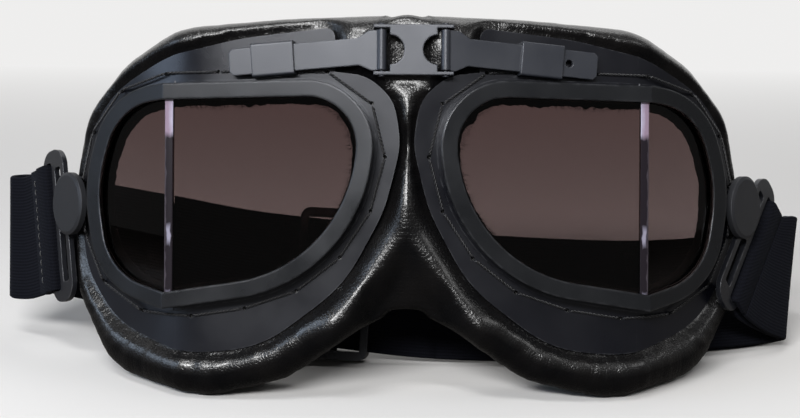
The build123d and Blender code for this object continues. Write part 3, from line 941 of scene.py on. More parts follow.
@dataclass(frozen=True)
class CupPanels:
    """The bent front of one cup: where its panels lie at each reach across."""

    kink: float = 66.4983
    nose: float = 9
    temple: float = 96.219
    yaws: tuple = (10, 40, 51)

    def front(self, across: np.ndarray) -> np.ndarray:
        """Depth of the lens frame's face.

        Args:
            across: Reaches from the mask's middle in millimetres, on either side.

        Returns:
            Depths in millimetres.
        """
        reach = np.abs(np.asarray(across, float))
        front, side, flank = (math.tan(math.radians(yaw)) for yaw in self.yaws)
        kink_depth = (self.kink - self.nose) * front
        temple_depth = kink_depth + (self.temple - self.kink) * side
        depth = (reach - self.nose) * front
        depth = np.where(reach > self.kink, kink_depth + (reach - self.kink) * side, depth)
        return np.where(reach > self.temple, temple_depth + (reach - self.temple) * flank, depth)


PANELS = CupPanels()


def signed_distance(points: np.ndarray, outline: np.ndarray) -> tuple:
    """How far points lie from a closed outline.

    Args:
        points: Rows of across and up.
        outline: Corners of the outline in turn.

    Returns:
        Distances, positive outside, and the run along the outline of each nearest place.
    """
    start = outline
    end = np.roll(outline, -1, axis=0)
    edge = end - start
    length = np.linalg.norm(edge, axis=1)
    runs = np.concatenate([[0], np.cumsum(length)[:-1]])
    best = np.full(len(points), 1e9)
    along = np.zeros(len(points))
    inside = np.zeros(len(points), bool)
    for index in range(len(outline)):
        if length[index] < 1e-9:
            continue
        away = points - start[index]
        share = np.clip(away @ edge[index] / length[index]**2, 0, 1)
        gap = np.linalg.norm(away - share[:, None] * edge[index], axis=1)
        nearer = gap < best
        best[nearer] = gap[nearer]
        along[nearer] = (runs[index] + share * length[index])[nearer]
        y0, y1 = start[index][1], end[index][1]
        crosses = (y0 > points[:, 1]) != (y1 > points[:, 1])
        if abs(y1 - y0) > 1e-12:
            at = start[index][0] + (points[:, 1] - y0) / (y1 - y0) * edge[index][0]
            inside ^= crosses & (points[:, 0] < at)
    return np.where(inside, -best, best), along


@dataclass
class LeatherMask:
    """The padded leather round both cups and over the nose, as one skin cut only where joints bend it."""

    finishes: Finishes
    voxel: float = 1.0
    crown: float = 2.4
    pucker: float = 0.32
    nose_crown: float = 5.6
    nose_round: float = 8.5
    nose_narrow: float = 3.2
    nose_seat: float = 8.8
    nose_fall: float = 0.34
    nose_lift: float = 2.3
    bar_reach: float = 6
    cup_reach: float = 12
    nose_widening: float = 1.45
    line_step: float = 5
    skin_rounds: int = 8
    settling_rounds: int = 3
    calm: tuple = (9, 16, 0.12)
    full_width: float = 9
    width_range: tuple = (0.2, 1.2)
    crown_place: float = 0.75
    crown_depth: float = 10
    crown_spread: float = 14
    crown_excess: float = 1.3
    ripples: tuple = ((1, 0.33, 0.07, 0), (0.5, 0.85, 0.16, 5))
    ripple_start: float = 2.5
    upper_ripple: float = 0.3
    ripple_fade: tuple = (10, 30)
    lift_reach: float = 6.5
    lift_rise: tuple = (40, 9)
    plate_rim: float = 1.5
    least_height: float = 0.0001
    nose_reach: tuple = (30, 10)
    nose_top: tuple = (34, 10)
    nose_foot: tuple = (-42, 12)
    nose_facing: float = 1.6
    nose_share: float = 0.35
    nose_fold: tuple = (0.12, 0.16, 0.05, 11)
    under_plate: float = 2.6
    fall_rise: tuple = (-4, 24)
    fall_room: tuple = (5, 7)
    fall_reach: tuple = (20, 10)
    merge_gap: float = 1e-7

    def rough(self) -> bpy.types.Object:
        """Joins the CAD cushions into one closed skin.

        Returns:
            The remeshed skin.
        """
        rough = bmesh.new()
        for name in ("leather_pad_right", "leather_pad_left", "nose_leather"):
            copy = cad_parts[name].data.copy()
            if name == "nose_leather":
                middle = STOOD_AT.x * MM
                for vertex in copy.vertices:
                    vertex.co.x = middle + (vertex.co.x - middle) * self.nose_widening
            rough.from_mesh(copy)
            bpy.data.meshes.remove(copy)
        mesh = bpy.data.meshes.new("leather_mask")
        rough.to_mesh(mesh)
        rough.free()
        mesh.materials.clear()
        skin = linked("leather_mask", mesh)
        remeshed(skin, self.voxel)
        return settled(softened(skin, self.skin_rounds))

    def shaped(self, skin: bpy.types.Object) -> tuple:
        """Puffs the roll and gathers it, and reads each place's run round the cup.

        Args:
            skin: The remeshed skin.

        Returns:
            The run round the outline and the distance in from it, for every corner.
        """
        mesh = skin.data
        flat = upright(rows_of(mesh.vertices, "co"))
        turn = np.array(Matrix.Rotation(LEAN, 3, "X"))
        facing = rows_of(mesh.vertex_normals, "vector") @ turn.T
        plan = np.stack([np.abs(flat[:, 0]), flat[:, 2]], axis=1)
        reach, rise = np.abs(flat[:, 0]), flat[:, 2]
        plate, _ = signed_distance(plan, OUTLINES.line(OUTLINES.plate, self.line_step))
        pad, along = signed_distance(plan, OUTLINES.line(OUTLINES.pad, self.line_step))
        room = np.clip(plate, 0, None)
        edge = np.clip(-pad, 0, None)
        share = room / np.maximum(room + edge, 1e-6)
        behind = flat[:, 1] - PANELS.front(flat[:, 0])
        outward = np.clip(self.crown_excess - np.abs(behind - self.crown_depth) / self.crown_spread, 0, 1)
        width = np.clip((room + edge) / self.full_width, *self.width_range)
        swell = self.crown * np.sin(np.pi * np.clip(share, 0, 1)**self.crown_place) * width * outward
        swell[plate <= 0] = 0
        ripple = np.array([
            sum(size * noise.noise(Vector((run * fine, depth * deep, seed + shift)))
                for size, fine, deep, shift in self.ripples)
            for run, depth, seed in zip(along, behind, np.sign(flat[:, 0]) * 3)
        ])
        gathered = self.pucker * ripple * rising(room, 0, self.ripple_start)
        lower = np.maximum(falling(rise, *self.ripple_fade), self.upper_ripple)
        calm = np.maximum(rising(reach, *self.calm[:2]), self.calm[2])
        moved = flat + facing * (swell + gathered * lower * calm)[:, None]
        moved[:, 1] += self.nose_form(flat, moved, facing, room, plate)
        moved[:, 2] += (self.nose_lift * np.clip(1 - (reach / self.lift_reach)**2, 0, 1)
                        * rising(rise, *self.lift_rise))
        under = (plate < self.plate_rim) & (facing[:, 1] < -0.3)
        moved[:, 1] = np.where(under, np.maximum(moved[:, 1], flat[:, 1]), moved[:, 1])
        placed = standing(moved)
        placed[:, 2] = np.maximum(placed[:, 2], self.least_height)
        mesh.vertices.foreach_set("co", placed.astype(np.float32).ravel())
        mesh.update()
        settled(softened(skin, self.settling_rounds))
        return along, behind

    def nose_form(self, flat: np.ndarray, moved: np.ndarray, facing: np.ndarray, room: np.ndarray,
                  plate: np.ndarray) -> np.ndarray:
        """Rounds the leather between the cups into a ridge that parts into two rolls below.

        Args:
            flat: Places on the upright mask.
            moved: The same places after the roll's swell.
            facing: Their normals.
            room: How far outside the plates they lie.
            plate: The same, negative under the plates.

        Returns:
            The move backward in millimetres.
        """
        reach, rise = np.abs(flat[:, 0]), flat[:, 2]
        span = falling(rise, *self.nose_top) * rising(rise, *self.nose_foot)
        ahead = np.clip(-facing[:, 1] * self.nose_facing, 0, 1)
        half = np.clip(room + reach, self.nose_narrow, self.nose_round)
        rounded = np.sin(np.clip(room / half, 0, 1) * math.pi / 2)
        crown = self.nose_crown * np.clip(self.nose_share + half / self.nose_round, 0, 1)
        depth, across, up, seed = self.nose_fold
        fold = np.array([noise.noise(Vector((x * across, z * up, seed))) for x, z in flat[:, (0, 2)]])
        face = self.nose_seat - crown * rounded * (1 + depth * fold)
        pull = ahead * falling(reach, *self.nose_reach) * span * np.clip(plate + self.under_plate, 0, 1)
        top, longest = self.fall_rise
        fall = (np.clip(top - rise, 0, longest) * rising(room, *self.fall_room)
                * falling(reach, *self.fall_reach))
        return (face - moved[:, 1]) * pull + self.nose_fall * fall

    def mapped(self, skin: bpy.types.Object, along: np.ndarray, behind: np.ndarray) -> None:
        """Stores each corner's run and depth as the skin's own coordinates.

        Args:
            skin: The shaped skin.
            along: Run round the outline in millimetres.
            behind: Depth behind the lens frame in millimetres.
        """
        mesh = skin.data
        layer = mesh.uv_layers.new(name="run")
        loops = np.zeros(len(mesh.loops), np.int32)
        mesh.loops.foreach_get("vertex_index", loops)
        uv = np.stack([along[loops] * MM, behind[loops] * MM], axis=1)
        layer.data.foreach_set("uv", uv.astype(np.float32).ravel())

    def cut(self, skin: bpy.types.Object) -> list:
        """Cuts the skin where the joints bend it.

        Args:
            skin: The whole skin.

        Returns:
            The pieces from left to right.
        """
        middle = STOOD_AT.x * MM
        reaches = (-self.cup_reach, -self.bar_reach, 0, self.bar_reach, self.cup_reach)
        whole = bmesh.new()
        whole.from_mesh(skin.data)
        for reach in reaches:
            bmesh.ops.bisect_plane(whole, geom=whole.verts[:] + whole.edges[:] + whole.faces[:],
                                   dist=self.merge_gap,
                                   plane_co=(middle + reach * MM, 0, 0), plane_no=(1, 0, 0))
        for face in whole.faces:
            face.smooth = True
        whole.normal_update()
        kept = {tuple(round(c, 7) for c in v.co): v.normal.copy() for v in whole.verts}
        names = ("cushion_left", "nose_fold_left", "nose_skin_left", "nose_skin_right",
                 "nose_fold_right", "cushion_right")
        bounds = [-1] + [middle + reach * MM for reach in reaches] + [1]
        pieces = []
        for index, name in enumerate(names):
            part = whole.copy()
            doomed = [f for f in part.faces
                      if not bounds[index] < f.calc_center_median().x < bounds[index + 1]]
            bmesh.ops.delete(part, geom=doomed, context="FACES")
            mesh = bpy.data.meshes.new(name)
            part.to_mesh(mesh)
            part.free()
            mesh.normals_split_custom_set_from_vertices(
                [kept.get(tuple(round(c, 7) for c in v.co), v.normal) for v in mesh.vertices])
            pieces.append(linked(name, mesh))
        whole.free()
        bpy.data.objects.remove(skin)
        return pieces

    def build(self) -> None:
        """Builds and cuts the skin and hangs the two cushions on the cups; the pieces over the nose are left
        unhung.
        """
        skin = self.rough()
        along, behind = self.shaped(skin)
        self.mapped(skin, along, behind)
        pieces = self.cut(skin)
        for piece in pieces:
            dressed(piece, self.finishes.leather)
        left_cup, left_fold, left_skin, right_skin, right_fold, right_cup = pieces
        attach(left_cup, "left_cup")
        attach(right_cup, "right_cup")
        for side, inner_piece, fold in ((Side.RIGHT, right_skin, right_fold), (Side.LEFT, left_skin, left_fold)):
            side.tag + "_bar"
            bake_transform(inner_piece)
            side.tag + "_bar"
            side.tag + "_cup"
            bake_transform(fold)
        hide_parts("leather_pad_left")
        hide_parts("leather_pad_right")
        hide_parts("nose_leather")
        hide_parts("nose_leather")
        for piece in pieces:
            LOG.info("leather %s: %d faces", piece.name, len(piece.data.polygons))


@dataclass
class LensCup:
    """One cup's rigid pieces: lens frame, plate, glass, felt, stitches, keeper and button."""

    side: Side
    finishes: Finishes
    felt_gap: float = 0.7
    felt_shakes: tuple = ((700, 0.25), (190, 0.3))
    hang_behind: tuple = (12.5, 4)
    hang_rise: tuple = (8, 16)
    hang_mean: float = 1.1
    hang_waves: tuple = ((1.5, 0.13, 3), (0.9, 0.5, 7))
    fuzz_length: float = 1.5
    fuzz_count: int = 5200
    fuzz_shares: tuple = (0.3, 1.0)
    fuzz_spread: float = 0.5
    fuzz_roots: tuple = (3.6, 5.2)
    fuzz_hang: tuple = (18, 1.2)
    fuzz_depths: tuple = (6.4, 9.0)
    fuzz_widths: tuple = (0.03, 0.055)
    fuzz_front: float = 5.6
    lens_middle: tuple = (50.0, 4.0)
    seam_ends: tuple = (-24.6, 30.3)
    seam_steps: int = 40
    seam_columns: tuple = ((63.75, 0.0), (63.95, 0.14), (64.9, 0.16), (65.8, 0.14), (66.0, 0.0))
    seam_depth: float = 1.5
    stitch_holes: int = 17
    stitch_inset: float = 3.3
    first_hole: tuple = (5.94, 14.0)
    plate_depth: float = 6.5
    twist: float = 2.2
    strand_radius: float = 0.22
    thread_step: float = 0.32
    thread_sides: int = 6
    thread_dip: float = 2.4
    plate_step: float = 0.5
    plate_ease: float = 2.6
    plate_splits: int = 4
    plate_edge: float = 1.6
    plate_sharp: float = math.radians(20)
    plate_band: tuple = (1.3, 3.0)
    tab_kept: tuple = (13, 25, 34)

    def name(self, piece: str) -> str:
        """Name of a piece on this side."""
        return f"{piece}_{self.side.tag}"

    def body(self) -> str:
        """The CAD body that the cup's pieces ride on."""
        return f"{self.side.tag}_cup"

    def dress_nodes(self) -> None:
        """Gives the cup's CAD nodes their finishes."""
        looks = {
            "lens_frame": (self.finishes.rim, "satin_black"),
            "face_plate": (self.finishes.plate, "satin_black"),
            "bar_keeper": (self.finishes.bar, "satin_black"),
            "slide_bar": (self.finishes.bar, "satin_black"),
            "button_post": (self.finishes.enamel, "satin_black"),
            "button_washer": (self.finishes.enamel, "satin_black"),
            "button_cap": (self.finishes.cap, "satin_black"),
            "strap_loop": (self.finishes.worn, "satin_black"),
            "front_lens": (self.finishes.glass, "smoke_glass"),
            "side_lens": (self.finishes.glass, "smoke_glass"),
            "lens_gasket": (self.finishes.rubber, "black_rubber"),
        }
        for piece, (material, slot) in looks.items():
            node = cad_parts[self.name(piece)]
            dressed(node, material)
            LOG.info("finish %s: %s", node.name, material.name)

    def eased_outline(self) -> tuple:
        """The plate's outline and how far each of its places moves to ease its corners.

        Returns:
            Points of the outline, and their moves, in millimetres.
        """
        outline = OUTLINES.even(OUTLINES.plate, self.plate_step)
        spread = int(3 * self.plate_ease / self.plate_step)
        weights = np.exp(-0.5 * (np.arange(-spread, spread + 1) * self.plate_step / self.plate_ease)**2)
        weights /= weights.sum()

        low, high, floor = self.tab_kept
        tab = (outline[:, 0] > low) & (outline[:, 0] < high) & (outline[:, 1] > floor)
        eased = sum(weight * np.roll(outline, k - spread, axis=0) for k, weight in enumerate(weights))
        return outline, (eased - outline) * np.where(tab, 0, 1)[:, None]

    def formed_plate(self) -> None:
        """Copies the face plate and eases the corners of its outline into one curve."""
        shape = bmesh.new()
        shape.from_mesh(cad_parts[self.name("face_plate")].data)
        outline, moves = self.eased_outline()
        gaps = np.linalg.norm(np.diff(np.vstack([outline, outline[:1]]), axis=0), axis=1)
        runs = np.arange(len(outline) + 1) * gaps.mean()
        moves = np.vstack([moves, moves[:1]])

        def read() -> tuple:
            """Upright corners, their distance from the outline and their run along it.

            Returns:
                The three in turn.
            """
            flat = upright(np.array([v.co for v in shape.verts]))
            plan = np.stack([flat[:, 0] * self.side.value, flat[:, 2]], axis=1)
            return (flat, *signed_distance(plan, outline))

        for _ in range(self.plate_splits):
            shape.verts.ensure_lookup_table()
            shape.verts.index_update()
            _, gap, _ = read()
            long = [e for e in shape.edges if e.calc_length() > self.plate_edge * MM
                    and min(gap[e.verts[0].index], gap[e.verts[1].index]) > -self.plate_band[0]]
            bmesh.ops.subdivide_edges(shape, edges=long, cuts=1)
        bmesh.ops.triangulate(shape, faces=[f for f in shape.faces if len(f.verts) > 4])
        flat, gap, along = read()
        inner, outer = self.plate_band
        share = np.clip((gap + outer) / (outer - inner), 0, 1)
        step = np.stack([np.interp(along, runs, moves[:, k]) for k in (0, 1)], axis=1) * share[:, None]
        reach = flat[:, 0] * self.side.value
        flat[:, 1] += PANELS.front(reach + step[:, 0]) - PANELS.front(reach)
        flat[:, 0] += step[:, 0] * self.side.value
        flat[:, 2] += step[:, 1]
        for vertex, place in zip(shape.verts, standing(flat)):
            vertex.co = place
        mesh = bpy.data.meshes.new(self.name("formed_plate"))
        for face in shape.faces:
            face.smooth = True
        shape.to_mesh(mesh)
        shape.free()
        mesh.set_sharp_from_angle(angle=self.plate_sharp)
        piece = linked(self.name("formed_plate"), mesh)
        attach(dressed(piece, self.finishes.plate), self.body())
        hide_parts(self.name("face_plate"))
        LOG.info("plate %s: %d faces", piece.name, len(mesh.polygons))

    def placed(self, across: float, depth: float, rise: float) -> Vector:
        """A point of this cup, given as on the right one."""
        return stood(self.side.value * across, depth, rise)

    def seam(self) -> None:
        """Lays the ground edge where the panes meet, as a narrow strip with a raised middle."""
        verts, faces, uvs = [], [], []
        columns = self.seam_columns
        behind = self.seam_depth / math.cos(math.radians(PANELS.yaws[0]))
        for step in range(self.seam_steps + 1):
            share = step / self.seam_steps
            rise = self.seam_ends[0] + (self.seam_ends[1] - self.seam_ends[0]) * share
            for column, (reach, proud) in enumerate(columns):
                depth = float(PANELS.front(reach)) + behind - proud
                verts.append(self.placed(reach, depth, rise))
                uvs.append((column / (len(columns) - 1), share))
        for step in range(self.seam_steps):
            for column in range(len(columns) - 1):
                a = step * len(columns) + column
                face = [a, a + 1, a + 1 + len(columns), a + len(columns)]
                faces.append(face if self.side is Side.RIGHT else face[::-1])
        piece = new_object(self.name("pane_seam"), verts, faces, smooth=False)
        laid_out(piece, uvs)
        dressed(piece, self.finishes.ground)
        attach(piece, self.body())
        LOG.info("seam %s", piece.name)

    def lining(self) -> None:
        """Replaces the lining by a rough felt sleeve with a fuzzy front edge."""
        piece = copied(self.name("felt_lining"), self.name("felt_sleeve"))
        remeshed(piece, self.felt_gap)
        settled(piece)
        flat = upright(rows_of(piece.data.vertices, "co"))
        for vertex, (across, depth, rise) in zip(piece.data.vertices, flat):
            shake = sum(noise.noise(vertex.co * fine) * size for fine, size in self.felt_shakes)
            vertex.co += vertex.normal * shake * MM
            vertex.co += self.droop(across, depth, rise)
        dressed(smoothed(piece), self.finishes.felt)
        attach(piece, self.body())
        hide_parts(self.name("felt_lining"))
        self.fuzz()
        LOG.info("felt %s: %d faces", piece.name, len(piece.data.polygons))

    def droop(self, across: float, depth: float, rise: float) -> Vector:
        """How far the felt's front edge hangs into the lens at a place.

        Args:
            across: Reach of the place from the mask's middle.
            depth: Its depth.
            rise: Its height over the eye line.

        Returns:
            The move in metres.
        """
        behind = depth - float(PANELS.front(across))
        share = float(falling(behind, *self.hang_behind) * rising(rise, *self.hang_rise))
        if not share:
            return Vector((0, 0, 0))
        inward = Vector((self.lens_middle[0] - abs(across), self.lens_middle[1] - rise)).normalized()
        hang = self.hang_mean
        for size, fine, seed in self.hang_waves:
            hang += size * noise.noise(Vector((across * fine, seed, 0)))
        move = inward * max(0.0, hang) * share
        turned = Matrix.Rotation(-LEAN, 3, "X") @ Vector((math.copysign(move.x, across * move.x), 0, move.y))
        return turned * MM

    def fuzz(self) -> None:
        """Sets short fibres along the felt's front edge."""
        rng = np.random.default_rng(7 if self.side is Side.RIGHT else 8)
        ring = OUTLINES.even(OUTLINES.lens, 0.5)
        verts, faces = [], []
        for _ in range(self.fuzz_count):
            spot = ring[int(rng.integers(len(ring)))]
            inward = np.array(self.lens_middle) - spot
            inward = inward / np.linalg.norm(inward)
            hang = self.fuzz_hang[1] if spot[1] > self.fuzz_hang[0] else 0.0
            root = spot + inward * rng.uniform(self.fuzz_roots[0], self.fuzz_roots[1] + hang)
            length = self.fuzz_length * rng.uniform(*self.fuzz_shares)
            tip = root + inward * length + rng.normal(0, self.fuzz_spread, 2) * length
            depth = float(PANELS.front(root[0])) + rng.uniform(*self.fuzz_depths)
            slip = np.array((-inward[1], inward[0])) * rng.uniform(*self.fuzz_widths)
            tip_depth = max(depth + rng.normal(0, self.fuzz_spread),
                            float(PANELS.front(tip[0])) + self.fuzz_front)
            first = len(verts)
            faces.append((first, first + 1, first + 2))
            verts += [self.placed(root[0] - slip[0], depth, root[1] - slip[1]),
                      self.placed(root[0] + slip[0], depth, root[1] + slip[1]),
                      self.placed(tip[0], tip_depth, tip[1])]
        piece = new_object(self.name("felt_fuzz"), verts, faces, smooth=False)
        dressed(piece, self.finishes.felt)
        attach(piece, self.body())

    def hole_places(self) -> list:
        """Where the thread goes through the plate, round the lens frame.

        Returns:
            The places across and up.
        """
        ring = OUTLINES.ring(OUTLINES.lens, self.stitch_inset, 0.25)
        start = int(np.argmin(np.linalg.norm(ring - np.array(self.first_hole), axis=1)))
        step = len(ring) / self.stitch_holes
        return [ring[int(start + index * step) % len(ring)] for index in range(self.stitch_holes)]

    def strand(self, verts: list, faces: list, first: np.ndarray, last: np.ndarray, phase: float) -> None:
        """Adds one strand of twisted thread between two holes.

        Args:
            verts: Corners that it is added to.
            faces: Faces that it is added to.
            first: The hole it starts from.
            last: The hole it goes to.
            phase: Where its twist starts.
        """
        base = len(verts)
        run = last - first
        length = float(np.linalg.norm(run))
        along = run / length
        side = np.array((-along[1], along[0]))
        steps = int(length / self.thread_step)
        faces += tube_faces(base, steps, self.thread_sides)
        for step in range(steps + 1):
            share = step / steps
            turn = share * length / self.twist * 2 * math.pi + phase
            sunk = self.thread_dip * max(0.0, 1 - min(share, 1 - share) * length)**1.5
            spot = first + run * share + side * math.cos(turn) * self.strand_radius
            depth = (float(PANELS.front(spot[0])) + self.plate_depth - self.strand_radius
                     - math.sin(turn) * self.strand_radius + sunk)
            for corner in range(self.thread_sides):
                angle = corner / self.thread_sides * 2 * math.pi
                off = side * math.cos(angle) * self.strand_radius
                verts.append(self.placed(spot[0] + off[0], depth - math.sin(angle) * self.strand_radius,
                                         spot[1] + off[1]))

    def stitches(self) -> None:
        """Sews the twisted thread from hole to hole round the lens frame."""
        holes = self.hole_places()
        verts, faces = [], []
        for first, last in zip(holes, holes[1:] + holes[:1]):
            for phase in (0, math.pi):
                self.strand(verts, faces, first, last, phase)
        piece = new_object(self.name("stitch_thread"), verts, faces)
        dressed(piece, self.finishes.thread)
        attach(piece, self.body())
        LOG.info("thread %s", piece.name)

    def build(self) -> None:
        """Builds and dresses the cup."""
        self.dress_nodes()
        self.formed_plate()
        self.seam()
        self.lining()
        self.stitches()


@dataclass
class NoseBridge:
    """The link over the nose with its two pins."""

    finishes: Finishes

    def build(self) -> None:
        """Dresses the link and the pins."""
        for name in ("bridge_link", "bridge_pin_right", "bridge_pin_left"):
            dressed(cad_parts[name], self.finishes.bar)
            LOG.info("finish %s", name)


@dataclass(frozen=True)
class Station:
    """One place on the strap's course."""

    place: Vector
    run: Vector
    up: Vector


@dataclass
class ElasticStrap:
    """The elastic from the left loop to the right one, and its doubled run back to the slider."""

    finishes: Finishes
    width: float = 38
    thickness: float = 1.5
    gap: float = 0.3
    steps: int = 8
    stand_height: float = 55.198
    loop_thickness: float = 1.6
    wrap_gap: float = 0.12
    loop_tilt: float = 11
    loop_drop: float = 4.5
    fold_top: float = 3.8
    stitch_rows: tuple = (22.4,)
    stitch_gap: float = 2.7
    stitch_radius: float = 0.24
    stitch_margin: float = 3
    stitch_share: float = 0.72
    stitch_arch: float = 0.28
    stitch_sunk: float = 0.12
    stitch_steps: int = 6
    post: tuple = (95.3375, 44.3186, 1)
    temple: tuple = (0.62932, 0.777146)
    section_rows: int = 9
    rounding: float = 0.35
    reach: float = 99
    cuts: tuple = (-80, -36, -24, -17.3, 8, 66)
    course_shares: tuple = (
        (-1.1870, 0.6360, 0.8421, -4, 18), (-1.2420, 0.6680, 0.8263, -2, 16), (-1.2560, 0.7270, 0.8079, 0, 15),
        (-1.2160, 0.7840, 0.7868, 2, 13), (-1.1313, 0.8141, 0.7632, 3, 12), (-0.9798, 0.7616, 0.7316, 3, 11),
        (-0.7374, 0.6364, 0.6947, 3, 12), (-0.4747, 0.5101, 0.6421, 3, 14), (-0.2121, 0.4566, 0.5947, 3, 15),
        (0.0606, 0.4465, 0.5211, 3, 18), (0.3636, 0.4808, 0.4658, 0, 29), (0.6465, 0.5424, 0.4263, -3, 37),
        (0.8687, 0.6131, 0.4132, -6, 41), (1.0000, 0.6505, 0.4237, -6, 38), (1.1010, 0.6687, 0.4579, -3, 31),
        (1.1616, 0.6596, 0.5026, 2, 24), (1.1859, 0.6162, 0.5579, 7, 20), (1.1434, 0.5576, 0.6316, 17, 28))
    start: tuple = ((-112.0443, 58.2486, -20.7555), (-0.6178, 0.7065, -0.3452), (-0.1201, 0.3491, 0.9293))
    end: tuple = ((105.4415, 48.6581, -26.6577), (0.4821, 0.4487, -0.7525), (0.4045, 0.6479, 0.6454))

    def stations(self) -> list:
        """The strap's course as smooth stations.

        Returns:
            Stations from the left loop to the right one, in millimetres about the leaning mask.
        """
        start, start_away, start_up = (Vector(v) for v in self.start)
        end, end_away, end_up = (Vector(v) for v in self.end)
        places, ups = [start], [start_up]
        for across, depth, height, tip, lean in self.course_shares:
            places.append(Vector((across * self.reach, depth * self.reach,
                                  height * self.width - self.stand_height)))
            ups.append(Vector((math.tan(math.radians(tip)), math.tan(math.radians(lean)), 1)).normalized())
        places.append(end)
        ups.append(end_up)
        before = start - start_away * (places[1] - start).length
        after = end - end_away * (places[-2] - end).length
        places = [before] + places + [after]
        ups = [start_up] + ups + [end_up]
        found = []
        for index in range(1, len(places) - 2):
            for step in range(self.steps):
                share = step / self.steps
                found.append((self.between(places[index - 1:index + 3], share),
                              self.between(ups[index - 1:index + 3], share)))
        found.append((places[-2], ups[-2]))
        last = len(found) - 1
        stations = []
        for index, (place, up) in enumerate(found):
            run = found[min(index + 1, last)][0] - found[max(index - 1, 0)][0]
            run = start_away if index == 0 else -end_away if index == last else run
            up = up.normalized()
            stations.append(Station(place, (run - up * run.dot(up)).normalized(), up))
        return stations

    @staticmethod
    def between(four: list, share: float) -> Vector:
        """A smooth curve's place between the second and third of four values.

        Args:
            four: Four values in turn.
            share: How far from the second to the third.

        Returns:
            The value there.
        """
        a, b, c, d = four
        return (b * 2 + (c - a) * share + (a * 2 - b * 5 + c * 4 - d) * share**2
                + (b * 3 - a - c * 3 + d) * share**3) * 0.5

    def spreads(self, count: int) -> list:
        """How far each layer lies from the course at every station.

        Args:
            count: How many stations there are.

        Returns:
            The distances in millimetres.
        """
        close = (self.thickness + self.gap) / 2
        wide = self.loop_thickness / 2 + self.wrap_gap + self.thickness / 2
        return [close + (wide - close) * max(0.0, 1 - (count - 1 - i) / self.steps) for i in range(count)]

    def section(self) -> list:
        """The strap's section as offsets over its thickness and width, with soft edges.

        Returns:
            Pairs of outward and upward offsets in millimetres.
        """
        half = self.width / 2
        thick = self.thickness / 2
        rows = np.linspace(-half + thick, half - thick, self.section_rows)
        front = [(thick, z) for z in rows]
        top = [(thick * math.cos(a), half - thick + thick * math.sin(a))
               for a in np.linspace(0.5, math.pi - 0.5, 4)]
        back = [(-thick, z) for z in rows[::-1]]
        foot = [(thick * math.cos(a), -half + thick + thick * math.sin(a))
                for a in np.linspace(math.pi + 0.5, 2 * math.pi - 0.5, 4)]
        return front + top + back + foot

    def ribbon(self, name: str, stations: list, offsets: list, run_from: float = 0) -> bpy.types.Object:
        """Builds one run of the strap.

        Args:
            name: Name of the piece.
            stations: The stations it passes.
            offsets: How far it lies off the course at each.
            run_from: Length of strap before its start, in millimetres.

        Returns:
            The run as an object.
        """
        section = self.section()
        size = len(section)
        verts, runs = [], [run_from]
        for index, (station, offset) in enumerate(zip(stations, offsets)):
            out = station.up.cross(station.run)
            middle = station.place + out * offset
            if index:
                runs.append(runs[-1] + (station.place - stations[index - 1].place).length)
            for thick, rise in section:
                verts.append((middle + out * thick + station.up * rise + STOOD_AT) * MM)
        faces = tube_faces(0, len(stations) - 1, size)
        faces.append(tuple(range(size))[::-1])
        faces.append(tuple(range((len(stations) - 1) * size, len(stations) * size)))
        piece = new_object(name, verts, faces)
        laid_out(piece, [(run * MM, rise * MM) for run in runs for _, rise in section])
        return dressed(piece, self.finishes.elastic)

    def nearest(self, stations: list, reach: float, low: int, high: int) -> int:
        """Station whose reach across is nearest to a value, within a span of stations."""
        return min(range(low, high), key=lambda i: abs(stations[i].place.x - reach))

    def build(self) -> None:
        """Builds both layers in runs, and hangs each run that lies on one body on that body; runs between two
        bodies are left unhung.
        """
        stations = self.stations()
        count = len(stations)
        spreads = self.spreads(count)
        fold = self.steps * 5
        crest = self.steps * 15
        left_cup, left_bar, left_middle, slider, hem_end, right_cup = (
            self.nearest(stations, reach, fold, crest) for reach in self.cuts)
        outer = [-spread * min(1.0, index / (2 * self.steps)) for index, spread in enumerate(spreads)]
        last = count - 1
        runs = (
            ("strap_left_turn", 0, fold, ("left_loop", "left_cup"), outer, "strap_band"),
            ("strap_left_run", fold, left_cup, ("left_cup",), outer, "strap_band"),
            ("strap_left_back", left_cup, left_bar, ("left_cup", "left_bar"), outer, "strap_band"),
            ("strap_left_bar", left_bar, left_middle, ("left_bar", "bridge"), outer, "strap_band"),
            ("strap_centre", left_middle, hem_end, ("bridge",), outer, "strap_band"),
            ("strap_right_bar", hem_end, right_cup, ("bridge", "right_bar"), outer, "strap_band"),
            ("strap_right_run", right_cup, crest, ("right_bar", "right_cup"), outer, "strap_band"),
            ("strap_right_turn", crest, last, ("right_cup", "right_loop"), outer, "strap_band"),
            ("strap_return_hem", slider, hem_end, ("slider", "bridge"), spreads, "strap_return"),
            ("strap_return_bar", hem_end, right_cup, ("bridge", "right_bar"), spreads, "strap_return"),
            ("strap_return_run", right_cup, crest, ("right_bar", "right_cup"), spreads, "strap_return"),
            ("strap_return_turn", crest, last, ("right_cup", "right_loop"), spreads, "strap_return"),
        )
        length = 0.0
        for name, first, end, bodies, offsets, node in runs:
            part = stations[first:end + 1]
            piece = self.ribbon(name, part, offsets[first:end + 1], length)
            length += sum((b.place - a.place).length for a, b in zip(part, part[1:]))
            self.hang(piece, bodies)
            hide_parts(node)
        dressed(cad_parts["strap_slider"], self.finishes.worn)
        self.from_node("strap_hem", "strap_sewn_hem", "slider")
        for side in Side:
            self.wrap(side)

    def hang(self, piece: bpy.types.Object, bodies: tuple) -> None:
        """Rides one run of the strap on its body where it has one; a run between two bodies is only measured for
        its bend.

        Args:
            piece: The run.
            bodies: One body to ride on, or the two that it lies between.
        """
        if len(bodies) == 1:
            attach(piece, bodies[0])
        else:
            start, end = self.bend(piece)
            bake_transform(piece)
        LOG.info("strap %s on %s", piece.name, " and ".join(bodies))

